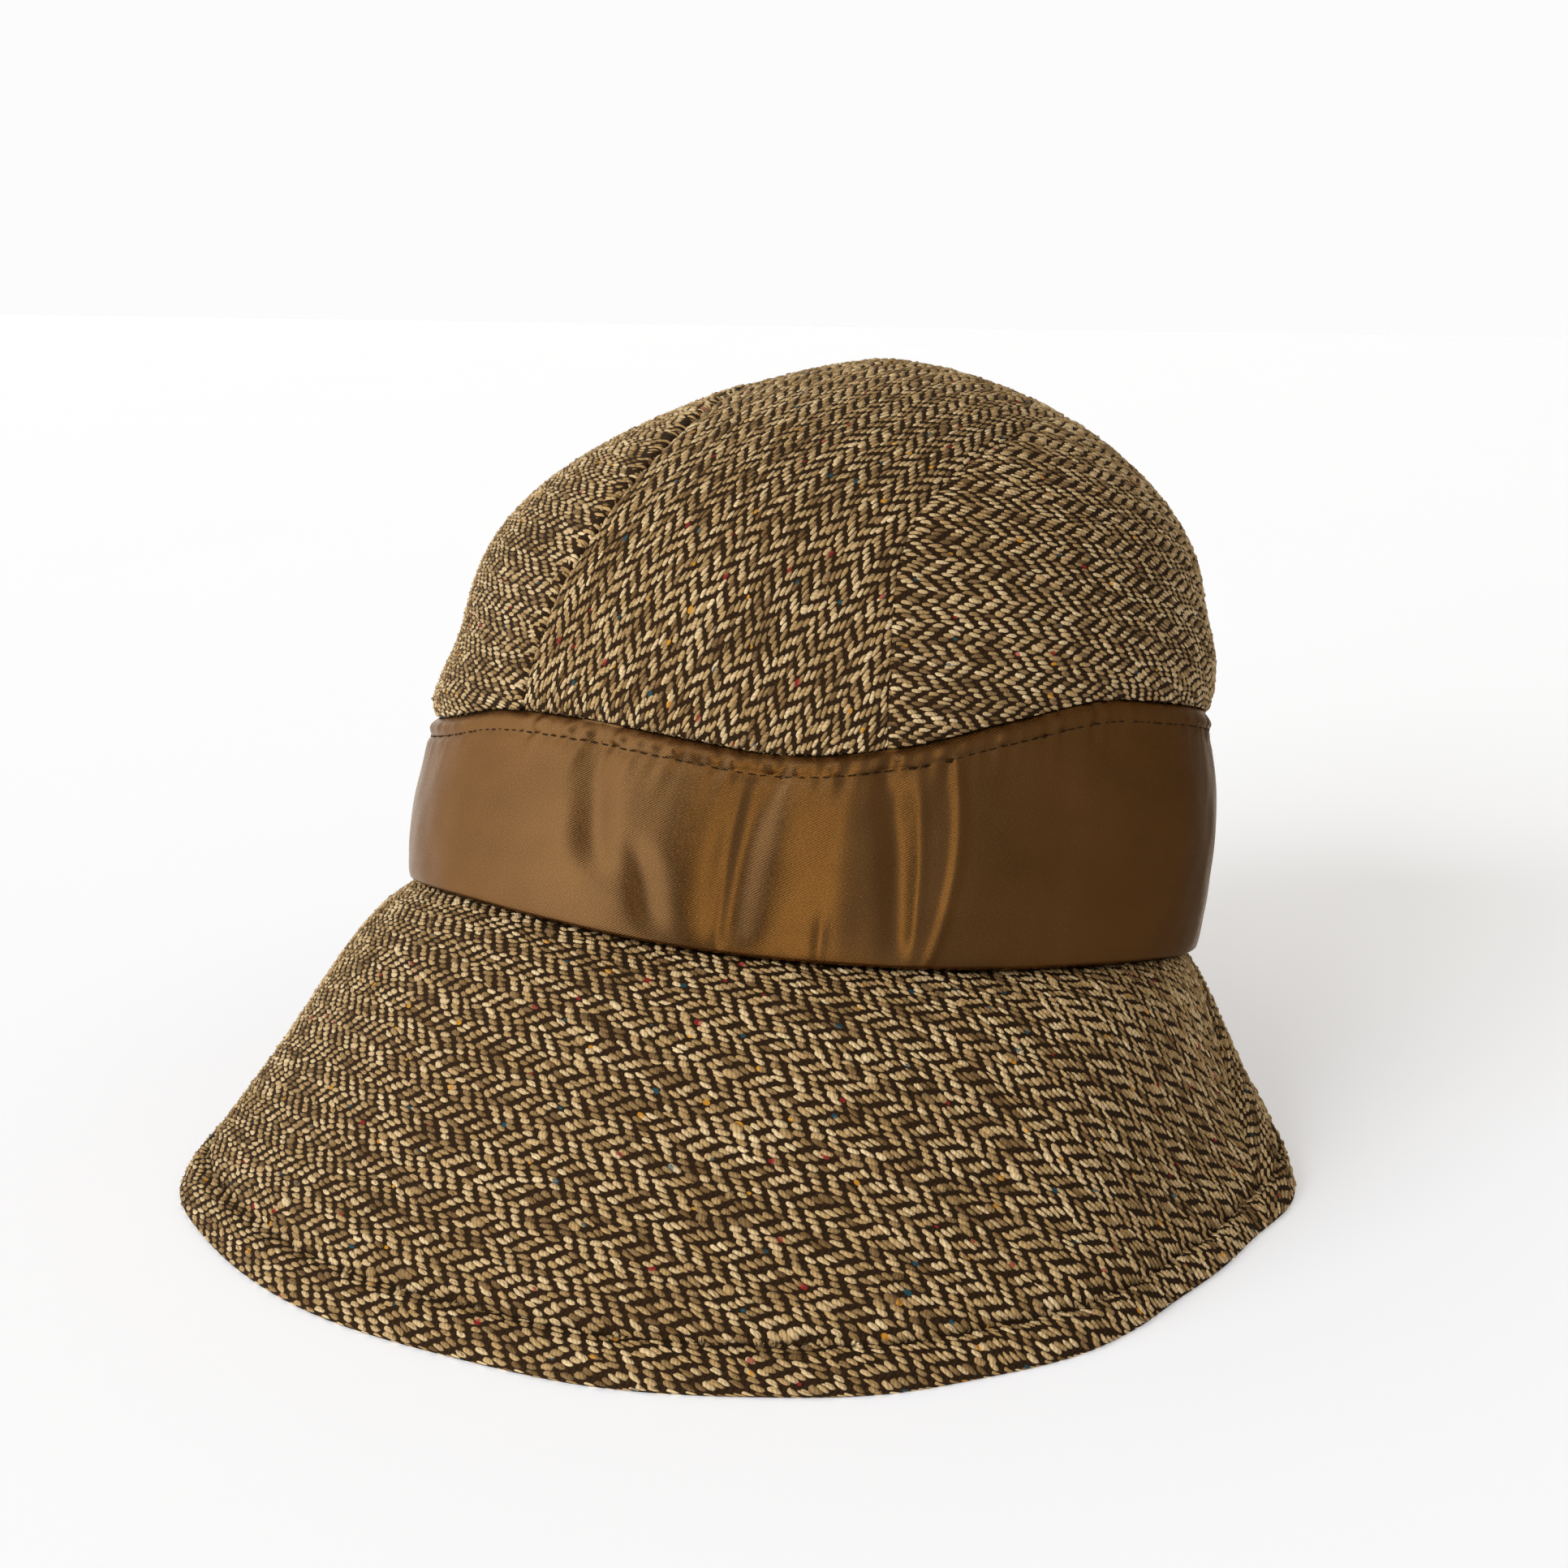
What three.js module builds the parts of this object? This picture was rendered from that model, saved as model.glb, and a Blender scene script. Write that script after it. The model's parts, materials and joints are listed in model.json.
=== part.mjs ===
import * as THREE from 'three';

// Cloche hat: a three-piece tweed crown, a satin band and a flared brim.
// Millimetres and degrees. Plus Z is up, the front faces minus Y, the brim's edge rests on Z = 0.
// Angles run round the hat from the front, plus towards plus X.

// Head oval, measured outside the band's lower seam
const HEAD_HALF_WIDTH = 89.3;
const HEAD_HALF_DEPTH = 99.0;

// Crown, along its own axis from the band's lower seam
const CROWN_HEIGHT = 136.1;
const SHOULDER_HEIGHT = 64.6;
const DOME_RISE_POWER = 2.24;
const DOME_SPREAD_POWER = 1.43;
const DOME_SPREAD_SIDEWAYS = 0.33;
const CROWN_LEAN_SIDE = 0.0055;
const CROWN_SLUMP_SIDE = 0.000184;
const CROWN_LEAN_BACK = 0.0046;
const CROWN_SLUMP_BACK = 0.000302;
const SIDE_DENT_DEPTH = 1.6;
const SIDE_DENT_HEIGHT = 84;
const SIDE_DENT_SPREAD = 9;

// How the crown and band sit over the brim
const TILT_BACK = 10.84;
const TILT_SIDE = 1.88;
const BAND_LIFT = 45.9;
const BAND_BEHIND_RIM = 26.7;
const BAND_BESIDE_RIM = 1.0;

// Brim and its edge
const RIM_EDGE_ROUND = 1.0;
const RIM_EDGE_TUCK = 0.8;
const BRIM_SHOULDER = 5.7;
const BRIM_SHOULDER_SIDEWAYS = 0.6;
const BRIM_SHOULDER_SHARE = 0.1;
const BRIM_SHOULDER_END = 0.2;
const SIDE_SEAM_AT_BAND = 107;
const SIDE_SEAM_AT_EDGE = 81;

// Cloth
const TWEED_THICKNESS = 2.0;
const BAND_THICKNESS = 1.8;
const BRIM_THICKNESS = 3.0;
const SEAM_GAP = 0.34;
const SEAM_GROOVE_DEPTH = 1.3;
const SEAM_GROOVE_REACH = 2.6;
const SIDE_SEAM_HALF_GAP = 0.11;
const SIDE_SEAM_GROOVE_SHARE = 0.6;
const BRIM_MEAN_RADIUS = 107;
const BRIM_RIDGE_TAPER = 0.8;

// Point inside the crown from which the strip's stations are sighted
const HUB_BACK = 3;
const HUB_HEIGHT = 50;
const HUB_REACH = 130;
const FRONT_STATIONS = { below: -25, above: 40 };
const BACK_STATIONS = { below: 205, above: 140 };
const HALVINGS = 44;
const NORMAL_STEP = 0.6;

// Counts
const BAND_COLUMNS = 72;
const BRIM_COLUMNS = 40;

// Left columns of the tables below fade in from the front and the back by this power
const LEFT_FADE_POWER = 1.5;

// Band: heights of its lower and upper seams round the head
const BAND_SEAMS = [
  { angle: -180, lower: 0.0, upper: 46.0 },
  { angle: -150, lower: 0.0, upper: 43.5 },
  { angle: -120, lower: 0.0, upper: 41.0 },
  { angle: -90, lower: 0.0, upper: 39.0 },
  { angle: -60, lower: 0.4, upper: 39.0 },
  { angle: -45, lower: 1.4, upper: 40.8 },
  { angle: -30, lower: 2.0, upper: 44.3 },
  { angle: -15, lower: 1.4, upper: 44.6 },
  { angle: 0, lower: 0.4, upper: 43.1 },
  { angle: 15, lower: 0.0, upper: 41.8 },
  { angle: 30, lower: 0.2, upper: 45.6 },
  { angle: 45, lower: 0.7, upper: 52.9 },
  { angle: 60, lower: 1.5, upper: 59.0 },
  { angle: 75, lower: 1.8, upper: 59.8 },
  { angle: 90, lower: 1.2, upper: 59.3 },
  { angle: 105, lower: 0.8, upper: 58.0 },
  { angle: 120, lower: 0.4, upper: 55.0 },
  { angle: 150, lower: 0.0, upper: 49.0 },
  { angle: 180, lower: 0.0, upper: 46.0 },
];

// Band: how far it stands out from the head oval, from lower seam to upper seam, right and left
const BAND_PROFILE = [
  { rise: 0.0, right: 1.2, left: 3.4 },
  { rise: 0.03, right: 3.2, left: 5.2 },
  { rise: 0.07, right: 4.6, left: 6.2 },
  { rise: 0.15, right: 5.8, left: 6.6 },
  { rise: 0.3, right: 6.3, left: 6.8 },
  { rise: 0.5, right: 6.2, left: 6.5 },
  { rise: 0.7, right: 4.6, left: 5.9 },
  { rise: 0.84, right: 2.6, left: 5.8 },
  { rise: 0.895, right: 1.5, left: 5.5 },
  { rise: 0.95, right: 1.3, left: 5.6 },
  { rise: 1.0, right: -0.6, left: 4.4 },
];

// Crown: how the tweed puffs out over the band's upper seam, right and left
const CROWN_PUFF = [
  { above: 0, right: -0.6, left: 4.4 },
  { above: 2, right: 0.4, left: 5.8 },
  { above: 5, right: 0.9, left: 6.2 },
  { above: 10, right: 0.7, left: 5.0 },
  { above: 20, right: 0.2, left: 1.4 },
  { above: 32, right: 0.0, left: 0.0 },
];

// Brim: distance of its edge from the middle of the hat, round the floor
const RIM = [
  { angle: -180, radius: 137.7 },
  { angle: -160, radius: 131.0 },
  { angle: -142, radius: 126.8 },
  { angle: -124, radius: 123.7 },
  { angle: -107, radius: 121.5 },
  { angle: -96, radius: 124.2 },
  { angle: -88, radius: 126.2 },
  { angle: -78, radius: 125.2 },
  { angle: -69, radius: 126.8 },
  { angle: -60, radius: 131.6 },
  { angle: -50, radius: 137.4 },
  { angle: -38, radius: 137.4 },
  { angle: -20, radius: 137.7 },
  { angle: -5, radius: 136.8 },
  { angle: 8, radius: 138.7 },
  { angle: 20, radius: 139.0 },
  { angle: 30, radius: 139.7 },
  { angle: 38, radius: 137.8 },
  { angle: 47, radius: 136.2 },
  { angle: 54, radius: 132.8 },
  { angle: 61, radius: 128.6 },
  { angle: 70, radius: 126.1 },
  { angle: 78, radius: 124.7 },
  { angle: 88, radius: 126.4 },
  { angle: 96, radius: 124.0 },
  { angle: 107, radius: 121.0 },
  { angle: 124, radius: 123.7 },
  { angle: 142, radius: 126.8 },
  { angle: 160, radius: 131.0 },
  { angle: 180, radius: 137.7 },
];

// Crown: the strip's two seams, station by station from front over the top to the back
const STRIP_SEAMS = [
  { station: -10, left: -40.5, right: 43.0 },
  { station: 0, left: -38.5, right: 42.6 },
  { station: 12, left: -34.0, right: 41.2 },
  { station: 20, left: -28.0, right: 40.2 },
  { station: 28, left: -24.0, right: 40.6 },
  { station: 36, left: -21.0, right: 43.5 },
  { station: 46, left: -19.4, right: 47.2 },
  { station: 56, left: -19.0, right: 50.0 },
  { station: 75, left: -19.5, right: 51.5 },
  { station: 95, left: -20.5, right: 50.5 },
  { station: 120, left: -23.5, right: 46.5 },
  { station: 150, left: -31.0, right: 42.0 },
  { station: 190, left: -39.0, right: 41.0 },
];

// Brim: how far it bows out from the straight line between band and edge
const BRIM_PROFILE = [
  { along: 0.0, bow: 0.0 },
  { along: 0.03, bow: 0.25 },
  { along: 0.06, bow: 0.47 },
  { along: 0.11, bow: 0.76 },
  { along: 0.17, bow: 0.95 },
  { along: 0.24, bow: 1.0 },
  { along: 0.32, bow: 0.92 },
  { along: 0.45, bow: 0.66 },
  { along: 0.58, bow: 0.4 },
  { along: 0.72, bow: 0.24 },
  { along: 0.86, bow: 0.12 },
  { along: 1.0, bow: 0.0 },
];

// Brim: soft standing bends that run from band to edge
const BRIM_RIDGES = [
  { angle: -128, spread: 20, height: 0.9 },
  { angle: -62, spread: 22, height: 0.9 },
  { angle: 60, spread: 13, height: 1.3 },
  { angle: 112, spread: 18, height: 1.9 },
];

// Rows of each piece's mesh, closer together at seams and edges
const STRIP_ACROSS = [0, 0.035, 0.1, 0.22, 0.36, 0.5, 0.64, 0.78, 0.9, 0.965, 1];
const CROWN_ALONG_ENDS = [0, 0.009, 0.025];
const CROWN_ALONG_CELLS = 22;
const SIDE_RISE = [0, 0.03, 0.09, 0.2, 0.32, 0.44, 0.56, 0.68, 0.8, 0.9, 0.965, 1];
const BRIM_ALONG = [0, 0.025, 0.06, 0.11, 0.17, 0.27, 0.42, 0.58, 0.75, 0.9, 1];
const BRIM_INNER_REACH = 0.985;
const BRIM_INNER_LEAST = 0.3;
const BRIM_STEP = 0.02;

const rad = (degrees) => (degrees * Math.PI) / 180;
const deg = (radians) => (radians * 180) / Math.PI;
const mix = (a, b, t) => a + (b - a) * t;
const clamp = (value, low, high) => Math.min(high, Math.max(low, value));

// Smooth reading of one column of a table between its rows
function read(rows, key, column, value) {
  const last = rows.length - 1;
  const at = clamp(value, rows[0][key], rows[last][key]);
  let i = 0;
  while (i < last - 1 && at > rows[i + 1][key]) i += 1;
  const slope = (a, b) => (rows[b][column] - rows[a][column]) / (rows[b][key] - rows[a][key]);
  const span = rows[i + 1][key] - rows[i][key];
  const t = (at - rows[i][key]) / span;
  const start = slope(Math.max(i - 1, 0), i + 1) * span;
  const end = slope(i, Math.min(i + 2, last)) * span;
  const a = rows[i][column];
  const b = rows[i + 1][column];
  const t2 = t * t;
  const t3 = t2 * t;
  return a * (2 * t3 - 3 * t2 + 1) + b * (3 * t2 - 2 * t3) + start * (t3 - 2 * t2 + t) + end * (t3 - t2);
}

function turn(angle) {
  return ((((angle + 180) % 360) + 360) % 360) - 180;
}

function lowerSeam(angle) {
  return read(BAND_SEAMS, 'angle', 'lower', turn(angle));
}

function upperSeam(angle) {
  return read(BAND_SEAMS, 'angle', 'upper', turn(angle));
}

// Reading between a table's right and left columns, by the angle round the hat
function sided(rows, key, value, angle) {
  const left = Math.max(0, -Math.sin(rad(angle))) ** LEFT_FADE_POWER;
  return mix(read(rows, key, 'right', value), read(rows, key, 'left', value), left);
}

// How far the wall stands out from the head oval at one angle and height
function outward(angle, height) {
  const low = lowerSeam(angle);
  const high = upperSeam(angle);
  if (height <= high) {
    return sided(BAND_PROFILE, 'rise', (height - low) / (high - low), angle);
  }
  const dent = (height - SIDE_DENT_HEIGHT) / SIDE_DENT_SPREAD;
  const side = Math.max(0, Math.sin(rad(angle)));
  return sided(CROWN_PUFF, 'above', height - high, angle) - SIDE_DENT_DEPTH * side * Math.exp(-dent * dent);
}

function domeShare(height) {
  return clamp((height - SHOULDER_HEIGHT) / (CROWN_HEIGHT - SHOULDER_HEIGHT), 0, 1);
}

function spreadPower(angle) {
  return DOME_SPREAD_POWER + DOME_SPREAD_SIDEWAYS * Math.sin(rad(angle));
}

function domeShrink(angle, height) {
  return (1 - domeShare(height) ** DOME_RISE_POWER) ** (1 / spreadPower(angle));
}

function leanSide(height) {
  return CROWN_LEAN_SIDE * height + CROWN_SLUMP_SIDE * height * height;
}

function leanBack(height) {
  return CROWN_LEAN_BACK * height + CROWN_SLUMP_BACK * height * height;
}

// Outer wall of crown and band in the crown's own upright frame
function wallPoint(angle, height) {
  const out = outward(angle, height);
  const shrink = domeShrink(angle, height);
  const x = (HEAD_HALF_WIDTH + out) * shrink * Math.sin(rad(angle)) + leanSide(height);
  const y = -(HEAD_HALF_DEPTH + out) * shrink * Math.cos(rad(angle)) + leanBack(height);
  return new THREE.Vector3(x, y, height);
}

function angleOf(point) {
  const x = (point.x - leanSide(point.z)) / HEAD_HALF_WIDTH;
  const y = (point.y - leanBack(point.z)) / HEAD_HALF_DEPTH;
  return deg(Math.atan2(x, -y));
}

// Below zero inside the crown and band, above zero outside
function level(point) {
  const angle = angleOf(point);
  const out = outward(angle, point.z);
  const x = (point.x - leanSide(point.z)) / (HEAD_HALF_WIDTH + out);
  const y = (point.y - leanBack(point.z)) / (HEAD_HALF_DEPTH + out);
  const over = Math.max(0, (point.z - SHOULDER_HEIGHT) / (CROWN_HEIGHT - SHOULDER_HEIGHT));
  return Math.hypot(x, y) ** spreadPower(angle) + over ** DOME_RISE_POWER - 1;
}

function wallNormal(point) {
  const step = NORMAL_STEP;
  const slope = (dx, dy, dz) => {
    const ahead = level(new THREE.Vector3(point.x + dx, point.y + dy, point.z + dz));
    const behind = level(new THREE.Vector3(point.x - dx, point.y - dy, point.z - dz));
    return ahead - behind;
  };
  return new THREE.Vector3(slope(step, 0, 0), slope(0, step, 0), slope(0, 0, step)).normalize();
}

// Crown wall met by a sight line from the hub, at one sideways place and station
function sighted(sideways, station) {
  const forward = Math.cos(rad(station));
  const up = Math.sin(rad(station));
  const place = (reach) => new THREE.Vector3(sideways, HUB_BACK - reach * forward, HUB_HEIGHT + reach * up);
  let near = 0;
  let far = HUB_REACH;
  for (let i = 0; i < HALVINGS; i += 1) {
    const middle = (near + far) / 2;
    if (level(place(middle)) > 0) far = middle;
    else near = middle;
  }
  return place(near);
}

function stripSideways(across, station) {
  const left = read(STRIP_SEAMS, 'station', 'left', station) + SEAM_GAP / 2;
  const right = read(STRIP_SEAMS, 'station', 'right', station) - SEAM_GAP / 2;
  return mix(left, right, across);
}

// Station where a line along the strip reaches the band's upper seam
function stripEnd(across, stations) {
  let a = stations.below;
  let b = stations.above;
  for (let i = 0; i < HALVINGS; i += 1) {
    const middle = (a + b) / 2;
    const point = sighted(stripSideways(across, middle), middle);
    if (point.z > upperSeam(angleOf(point)) + SEAM_GAP) b = middle;
    else a = middle;
  }
  return b;
}

function crownAlong() {
  const rows = [...CROWN_ALONG_ENDS];
  const first = CROWN_ALONG_ENDS[CROWN_ALONG_ENDS.length - 1];
  for (let i = 1; i < CROWN_ALONG_CELLS; i += 1) rows.push(mix(first, 1 - first, i / CROWN_ALONG_CELLS));
  return rows.concat(CROWN_ALONG_ENDS.map((row) => 1 - row).reverse());
}

const ALONG = crownAlong();

function seamGroove(distance) {
  return -SEAM_GROOVE_DEPTH * Math.exp(-((distance / SEAM_GROOVE_REACH) ** 2));
}

// From the crown's own frame to where the hat stands
const STAND = new THREE.Matrix4()
  .makeTranslation(BAND_BESIDE_RIM, BAND_BEHIND_RIM, BAND_LIFT)
  .multiply(new THREE.Matrix4().makeRotationY(rad(TILT_SIDE)))
  .multiply(new THREE.Matrix4().makeRotationX(-rad(TILT_BACK)));

function stand(point) {
  return point.clone().applyMatrix4(STAND);
}

// Two grids of the same shape closed into one shell
function shell(outer, inner, loop) {
  const points = [];
  const index = new Map();
  const number = (point) => {
    const key = [point.x, point.y, point.z].map((value) => value.toFixed(5)).join(' ');
    if (!index.has(key)) {
      index.set(key, points.length);
      points.push(point);
    }
    return index.get(key);
  };
  const out = outer.map((row) => row.map(number));
  const inn = inner.map((row) => row.map(number));
  const rows = out.length;
  const columns = out[0].length;
  const cells = loop ? columns : columns - 1;
  const faces = [];
  const triangle = (a, b, c) => {
    if (a !== b && b !== c && c !== a) faces.push([a, b, c]);
  };
  const quad = (a, b, c, d) => {
    triangle(a, b, c);
    triangle(a, c, d);
  };
  for (let r = 0; r < rows - 1; r += 1) {
    for (let c = 0; c < cells; c += 1) {
      const n = (c + 1) % columns;
      quad(out[r][c], out[r][n], out[r + 1][n], out[r + 1][c]);
      quad(inn[r][n], inn[r][c], inn[r + 1][c], inn[r + 1][n]);
    }
  }
  for (let c = 0; c < cells; c += 1) {
    const n = (c + 1) % columns;
    quad(out[0][n], out[0][c], inn[0][c], inn[0][n]);
    quad(out[rows - 1][c], out[rows - 1][n], inn[rows - 1][n], inn[rows - 1][c]);
  }
  if (!loop) {
    for (let r = 0; r < rows - 1; r += 1) {
      quad(out[r + 1][0], inn[r + 1][0], inn[r][0], out[r][0]);
      quad(out[r + 1][columns - 1], out[r][columns - 1], inn[r][columns - 1], inn[r + 1][columns - 1]);
    }
  }
  let volume = 0;
  for (const [a, b, c] of faces) volume += points[a].dot(points[b].clone().cross(points[c])) / 6;
  const flat = [];
  for (const [a, b, c] of faces) flat.push(...(volume < 0 ? [a, c, b] : [a, b, c]));
  const geometry = new THREE.BufferGeometry();
  const positions = new Float32Array(points.flatMap((point) => [point.x, point.y, point.z]));
  geometry.setAttribute('position', new THREE.BufferAttribute(positions, 3));
  geometry.setIndex(flat);
  geometry.computeVertexNormals();
  return geometry;
}

// Shell of crown cloth from points on the wall and their push in or out
function crownShell(grid, thickness) {
  const outer = [];
  const inner = [];
  for (const row of grid) {
    outer.push([]);
    inner.push([]);
    for (const { point, push } of row) {
      const normal = wallNormal(point);
      const face = point.clone().addScaledVector(normal, push);
      outer[outer.length - 1].push(stand(face));
      inner[inner.length - 1].push(stand(face.clone().addScaledVector(normal, -thickness)));
    }
  }
  return { outer, inner };
}

function stripGrid() {
  const ends = STRIP_ACROSS.map((across) =>
    [FRONT_STATIONS, BACK_STATIONS].map((stations) => stripEnd(across, stations)),
  );
  return ALONG.map((along) =>
    STRIP_ACROSS.map((across, i) => {
      const station = mix(ends[i][0], ends[i][1], along);
      const sideways = stripSideways(across, station);
      const left = sideways - stripSideways(0, station);
      const right = stripSideways(1, station) - sideways;
      return { point: sighted(sideways, station), push: seamGroove(Math.min(left, right)) };
    }),
  );
}

// Height measured along the curve of the dome, so rows stay even up to the top
function domeWalk(height) {
  if (height <= SHOULDER_HEIGHT) return height;
  return SHOULDER_HEIGHT + (CROWN_HEIGHT - SHOULDER_HEIGHT) * Math.asin(domeShare(height));
}

function domeHeight(walk) {
  if (walk <= SHOULDER_HEIGHT) return walk;
  const rise = CROWN_HEIGHT - SHOULDER_HEIGHT;
  return SHOULDER_HEIGHT + rise * Math.sin((walk - SHOULDER_HEIGHT) / rise);
}

function sideGrid(side) {
  const across = side < 0 ? 0 : 1;
  const front = stripEnd(across, FRONT_STATIONS);
  const back = stripEnd(across, BACK_STATIONS);
  const top = ALONG.map((along) => {
    const station = mix(front, back, along);
    const point = sighted(stripSideways(across, station) + side * SEAM_GAP, station);
    return { angle: angleOf(point), walk: domeWalk(point.z) };
  });
  const first = top[0];
  const last = top[top.length - 1];
  return SIDE_RISE.map((rise) =>
    ALONG.map((along, i) => {
      const base = mix(first.angle, last.angle, along);
      const corner = i === 0 || i === ALONG.length - 1;
      const angle = corner ? top[i].angle : mix(base, top[i].angle, rise);
      const low = domeWalk(upperSeam(base) + SEAM_GAP);
      const walk = corner ? top[i].walk : mix(low, top[i].walk, rise);
      const gap = (1 - rise) * (top[i].walk - low);
      return { point: wallPoint(angle, domeHeight(walk)), push: seamGroove(corner ? 0 : gap) };
    }),
  );
}

function bandGrid() {
  return BAND_PROFILE.map(({ rise }) => {
    const row = [];
    for (let c = 0; c < BAND_COLUMNS; c += 1) {
      const angle = (360 * c) / BAND_COLUMNS - 180;
      const height = mix(lowerSeam(angle), upperSeam(angle), rise);
      row.push({ point: wallPoint(angle, height), push: 0 });
    }
    return row;
  });
}

function bandShell() {
  const outer = [];
  const inner = [];
  for (const row of bandGrid()) {
    outer.push(row.map(({ point }) => stand(point)));
    inner.push(
      row.map(({ point }) => {
        const middle = new THREE.Vector3(leanSide(point.z), leanBack(point.z), point.z);
        const inwards = middle.sub(point).normalize();
        return stand(point.clone().addScaledVector(inwards, BAND_THICKNESS));
      }),
    );
  }
  return { outer, inner };
}

// Angle at the edge that a line down the brim reaches from its angle at the band
function edgeAngle(angle) {
  const at = turn(angle);
  const side = Math.sign(at);
  const away = Math.abs(at);
  if (away <= SIDE_SEAM_AT_BAND) return (side * away * SIDE_SEAM_AT_EDGE) / SIDE_SEAM_AT_BAND;
  return side * mix(SIDE_SEAM_AT_EDGE, 180, (away - SIDE_SEAM_AT_BAND) / (180 - SIDE_SEAM_AT_BAND));
}

function rimPoint(angle) {
  const at = edgeAngle(angle);
  const radius = read(RIM, 'angle', 'radius', at);
  return new THREE.Vector3(radius * Math.sin(rad(at)), -radius * Math.cos(rad(at)), RIM_EDGE_ROUND);
}

function brimRidge(angle, along) {
  let total = 0;
  for (const ridge of BRIM_RIDGES) {
    const away = turn(angle - ridge.angle) / ridge.spread;
    total += ridge.height * Math.exp(-away * away);
  }
  const sideSeam = Math.abs(Math.abs(turn(angle)) - SIDE_SEAM_AT_BAND);
  const groove = SIDE_SEAM_GROOVE_SHARE * seamGroove(rad(sideSeam) * BRIM_MEAN_RADIUS);
  const taper = Math.sin(Math.PI * clamp(along, 0, 1) ** BRIM_RIDGE_TAPER);
  return (total + groove) * taper;
}

// Top edge of the brim under the band's lower seam
function brimTop(angle, inset) {
  const point = wallPoint(angle, lowerSeam(angle));
  const inwards = new THREE.Vector3(-point.x, -point.y, 0).normalize();
  return stand(point.addScaledVector(inwards, inset).add(new THREE.Vector3(0, 0, -SEAM_GAP)));
}

// Outer face of the brim from the band's lower seam to the edge
function brimPoint(angle, along) {
  const top = brimTop(angle, 0);
  const edge = rimPoint(angle);
  const line = edge.clone().sub(top);
  const length = line.length();
  const down = line.clone().normalize();
  const out = new THREE.Vector3(0, 0, 1).addScaledVector(down, -down.z).normalize();
  const shoulder = BRIM_SHOULDER + BRIM_SHOULDER_SIDEWAYS * Math.sin(rad(angle));
  const steepness = -line.z / Math.hypot(line.x, line.y);
  const bow = Math.min(shoulder, BRIM_SHOULDER_SHARE * length * steepness);
  const rise = bow * read(BRIM_PROFILE, 'along', 'bow', along) + brimRidge(angle, along);
  return top.addScaledVector(line, along).addScaledVector(out, rise);
}

function brimNormal(angle, along) {
  const from = clamp(along, BRIM_STEP, 1 - BRIM_STEP);
  const down = brimPoint(angle, from + BRIM_STEP).sub(brimPoint(angle, from - BRIM_STEP));
  const round = brimPoint(angle + 1, from).sub(brimPoint(angle - 1, from));
  const normal = round.cross(down).normalize();
  const facing = Math.sin(rad(angle)) * normal.x - Math.cos(rad(angle)) * normal.y;
  return facing < 0 ? normal.negate() : normal;
}

// Inner face of the brim, with the inside of its rounded shoulder cut straight
function brimInner(angle, along) {
  if (along < BRIM_SHOULDER_END) {
    const below = brimInner(angle, BRIM_SHOULDER_END);
    return brimTop(angle, BRIM_THICKNESS).lerp(below, along / BRIM_SHOULDER_END);
  }
  return brimPoint(angle, along).addScaledVector(brimNormal(angle, along), -BRIM_THICKNESS);
}

// Share of the way down at which the brim's inner face meets the floor
function innerEnd(angle) {
  let high = BRIM_INNER_LEAST;
  let low = 1;
  for (let i = 0; i < HALVINGS; i += 1) {
    const middle = (high + low) / 2;
    if (brimInner(angle, middle).z > 0) high = middle;
    else low = middle;
  }
  return high;
}

function brimShell(firstAngle, lastAngle) {
  const outer = [];
  const inner = [];
  const angles = [];
  for (let c = 0; c <= BRIM_COLUMNS; c += 1) angles.push(mix(firstAngle, lastAngle, c / BRIM_COLUMNS));
  const ends = angles.map(innerEnd);
  for (const along of BRIM_ALONG) {
    outer.push(angles.map((angle) => brimPoint(angle, along)));
    inner.push(angles.map((angle, c) => brimInner(angle, along * ends[c] * BRIM_INNER_REACH)));
  }
  outer.push(
    angles.map((angle) => {
      const edge = rimPoint(angle);
      const tuck = new THREE.Vector3(-edge.x, -edge.y, 0).normalize();
      return edge.addScaledVector(tuck, RIM_EDGE_TUCK).setZ(0);
    }),
  );
  inner.push(angles.map((angle, c) => brimInner(angle, ends[c]).setZ(0)));
  return { outer, inner };
}

const PIECES = [
  { name: 'crown_center_panel', colour: 0x9c8863, grids: crownShell(stripGrid(), TWEED_THICKNESS) },
  { name: 'crown_side_panel_left', colour: 0x94805c, grids: crownShell(sideGrid(-1), TWEED_THICKNESS) },
  { name: 'crown_side_panel_right', colour: 0x94805c, grids: crownShell(sideGrid(1), TWEED_THICKNESS) },
  { name: 'hat_band', colour: 0x7a5a36, grids: bandShell(), loop: true },
  {
    name: 'brim_front',
    colour: 0x9c8863,
    grids: brimShell(-SIDE_SEAM_AT_BAND + SIDE_SEAM_HALF_GAP, SIDE_SEAM_AT_BAND - SIDE_SEAM_HALF_GAP),
  },
  {
    name: 'brim_back',
    colour: 0x94805c,
    grids: brimShell(SIDE_SEAM_AT_BAND + SIDE_SEAM_HALF_GAP, 360 - SIDE_SEAM_AT_BAND - SIDE_SEAM_HALF_GAP),
  },
];

const group = new THREE.Group();
group.name = 'cloche_hat';
for (const piece of PIECES) {
  const geometry = shell(piece.grids.outer, piece.grids.inner, piece.loop === true);
  const material = new THREE.MeshStandardMaterial({ color: piece.colour, roughness: 0.9 });
  const mesh = new THREE.Mesh(geometry, material);
  mesh.name = piece.name;
  group.add(mesh);
}

// Set the whole hat over the middle of its outline on the floor
const box = new THREE.Box3().setFromObject(group);
for (const mesh of group.children) {
  mesh.geometry.translate(-(box.min.x + box.max.x) / 2, -(box.min.y + box.max.y) / 2, -box.min.z);
}

export default group;
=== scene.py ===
import json
import math

import bmesh
import bpy
import numpy as np
from bpy.props import FloatProperty, FloatVectorProperty, IntProperty, PointerProperty
from mathutils import Matrix, Vector


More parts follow.
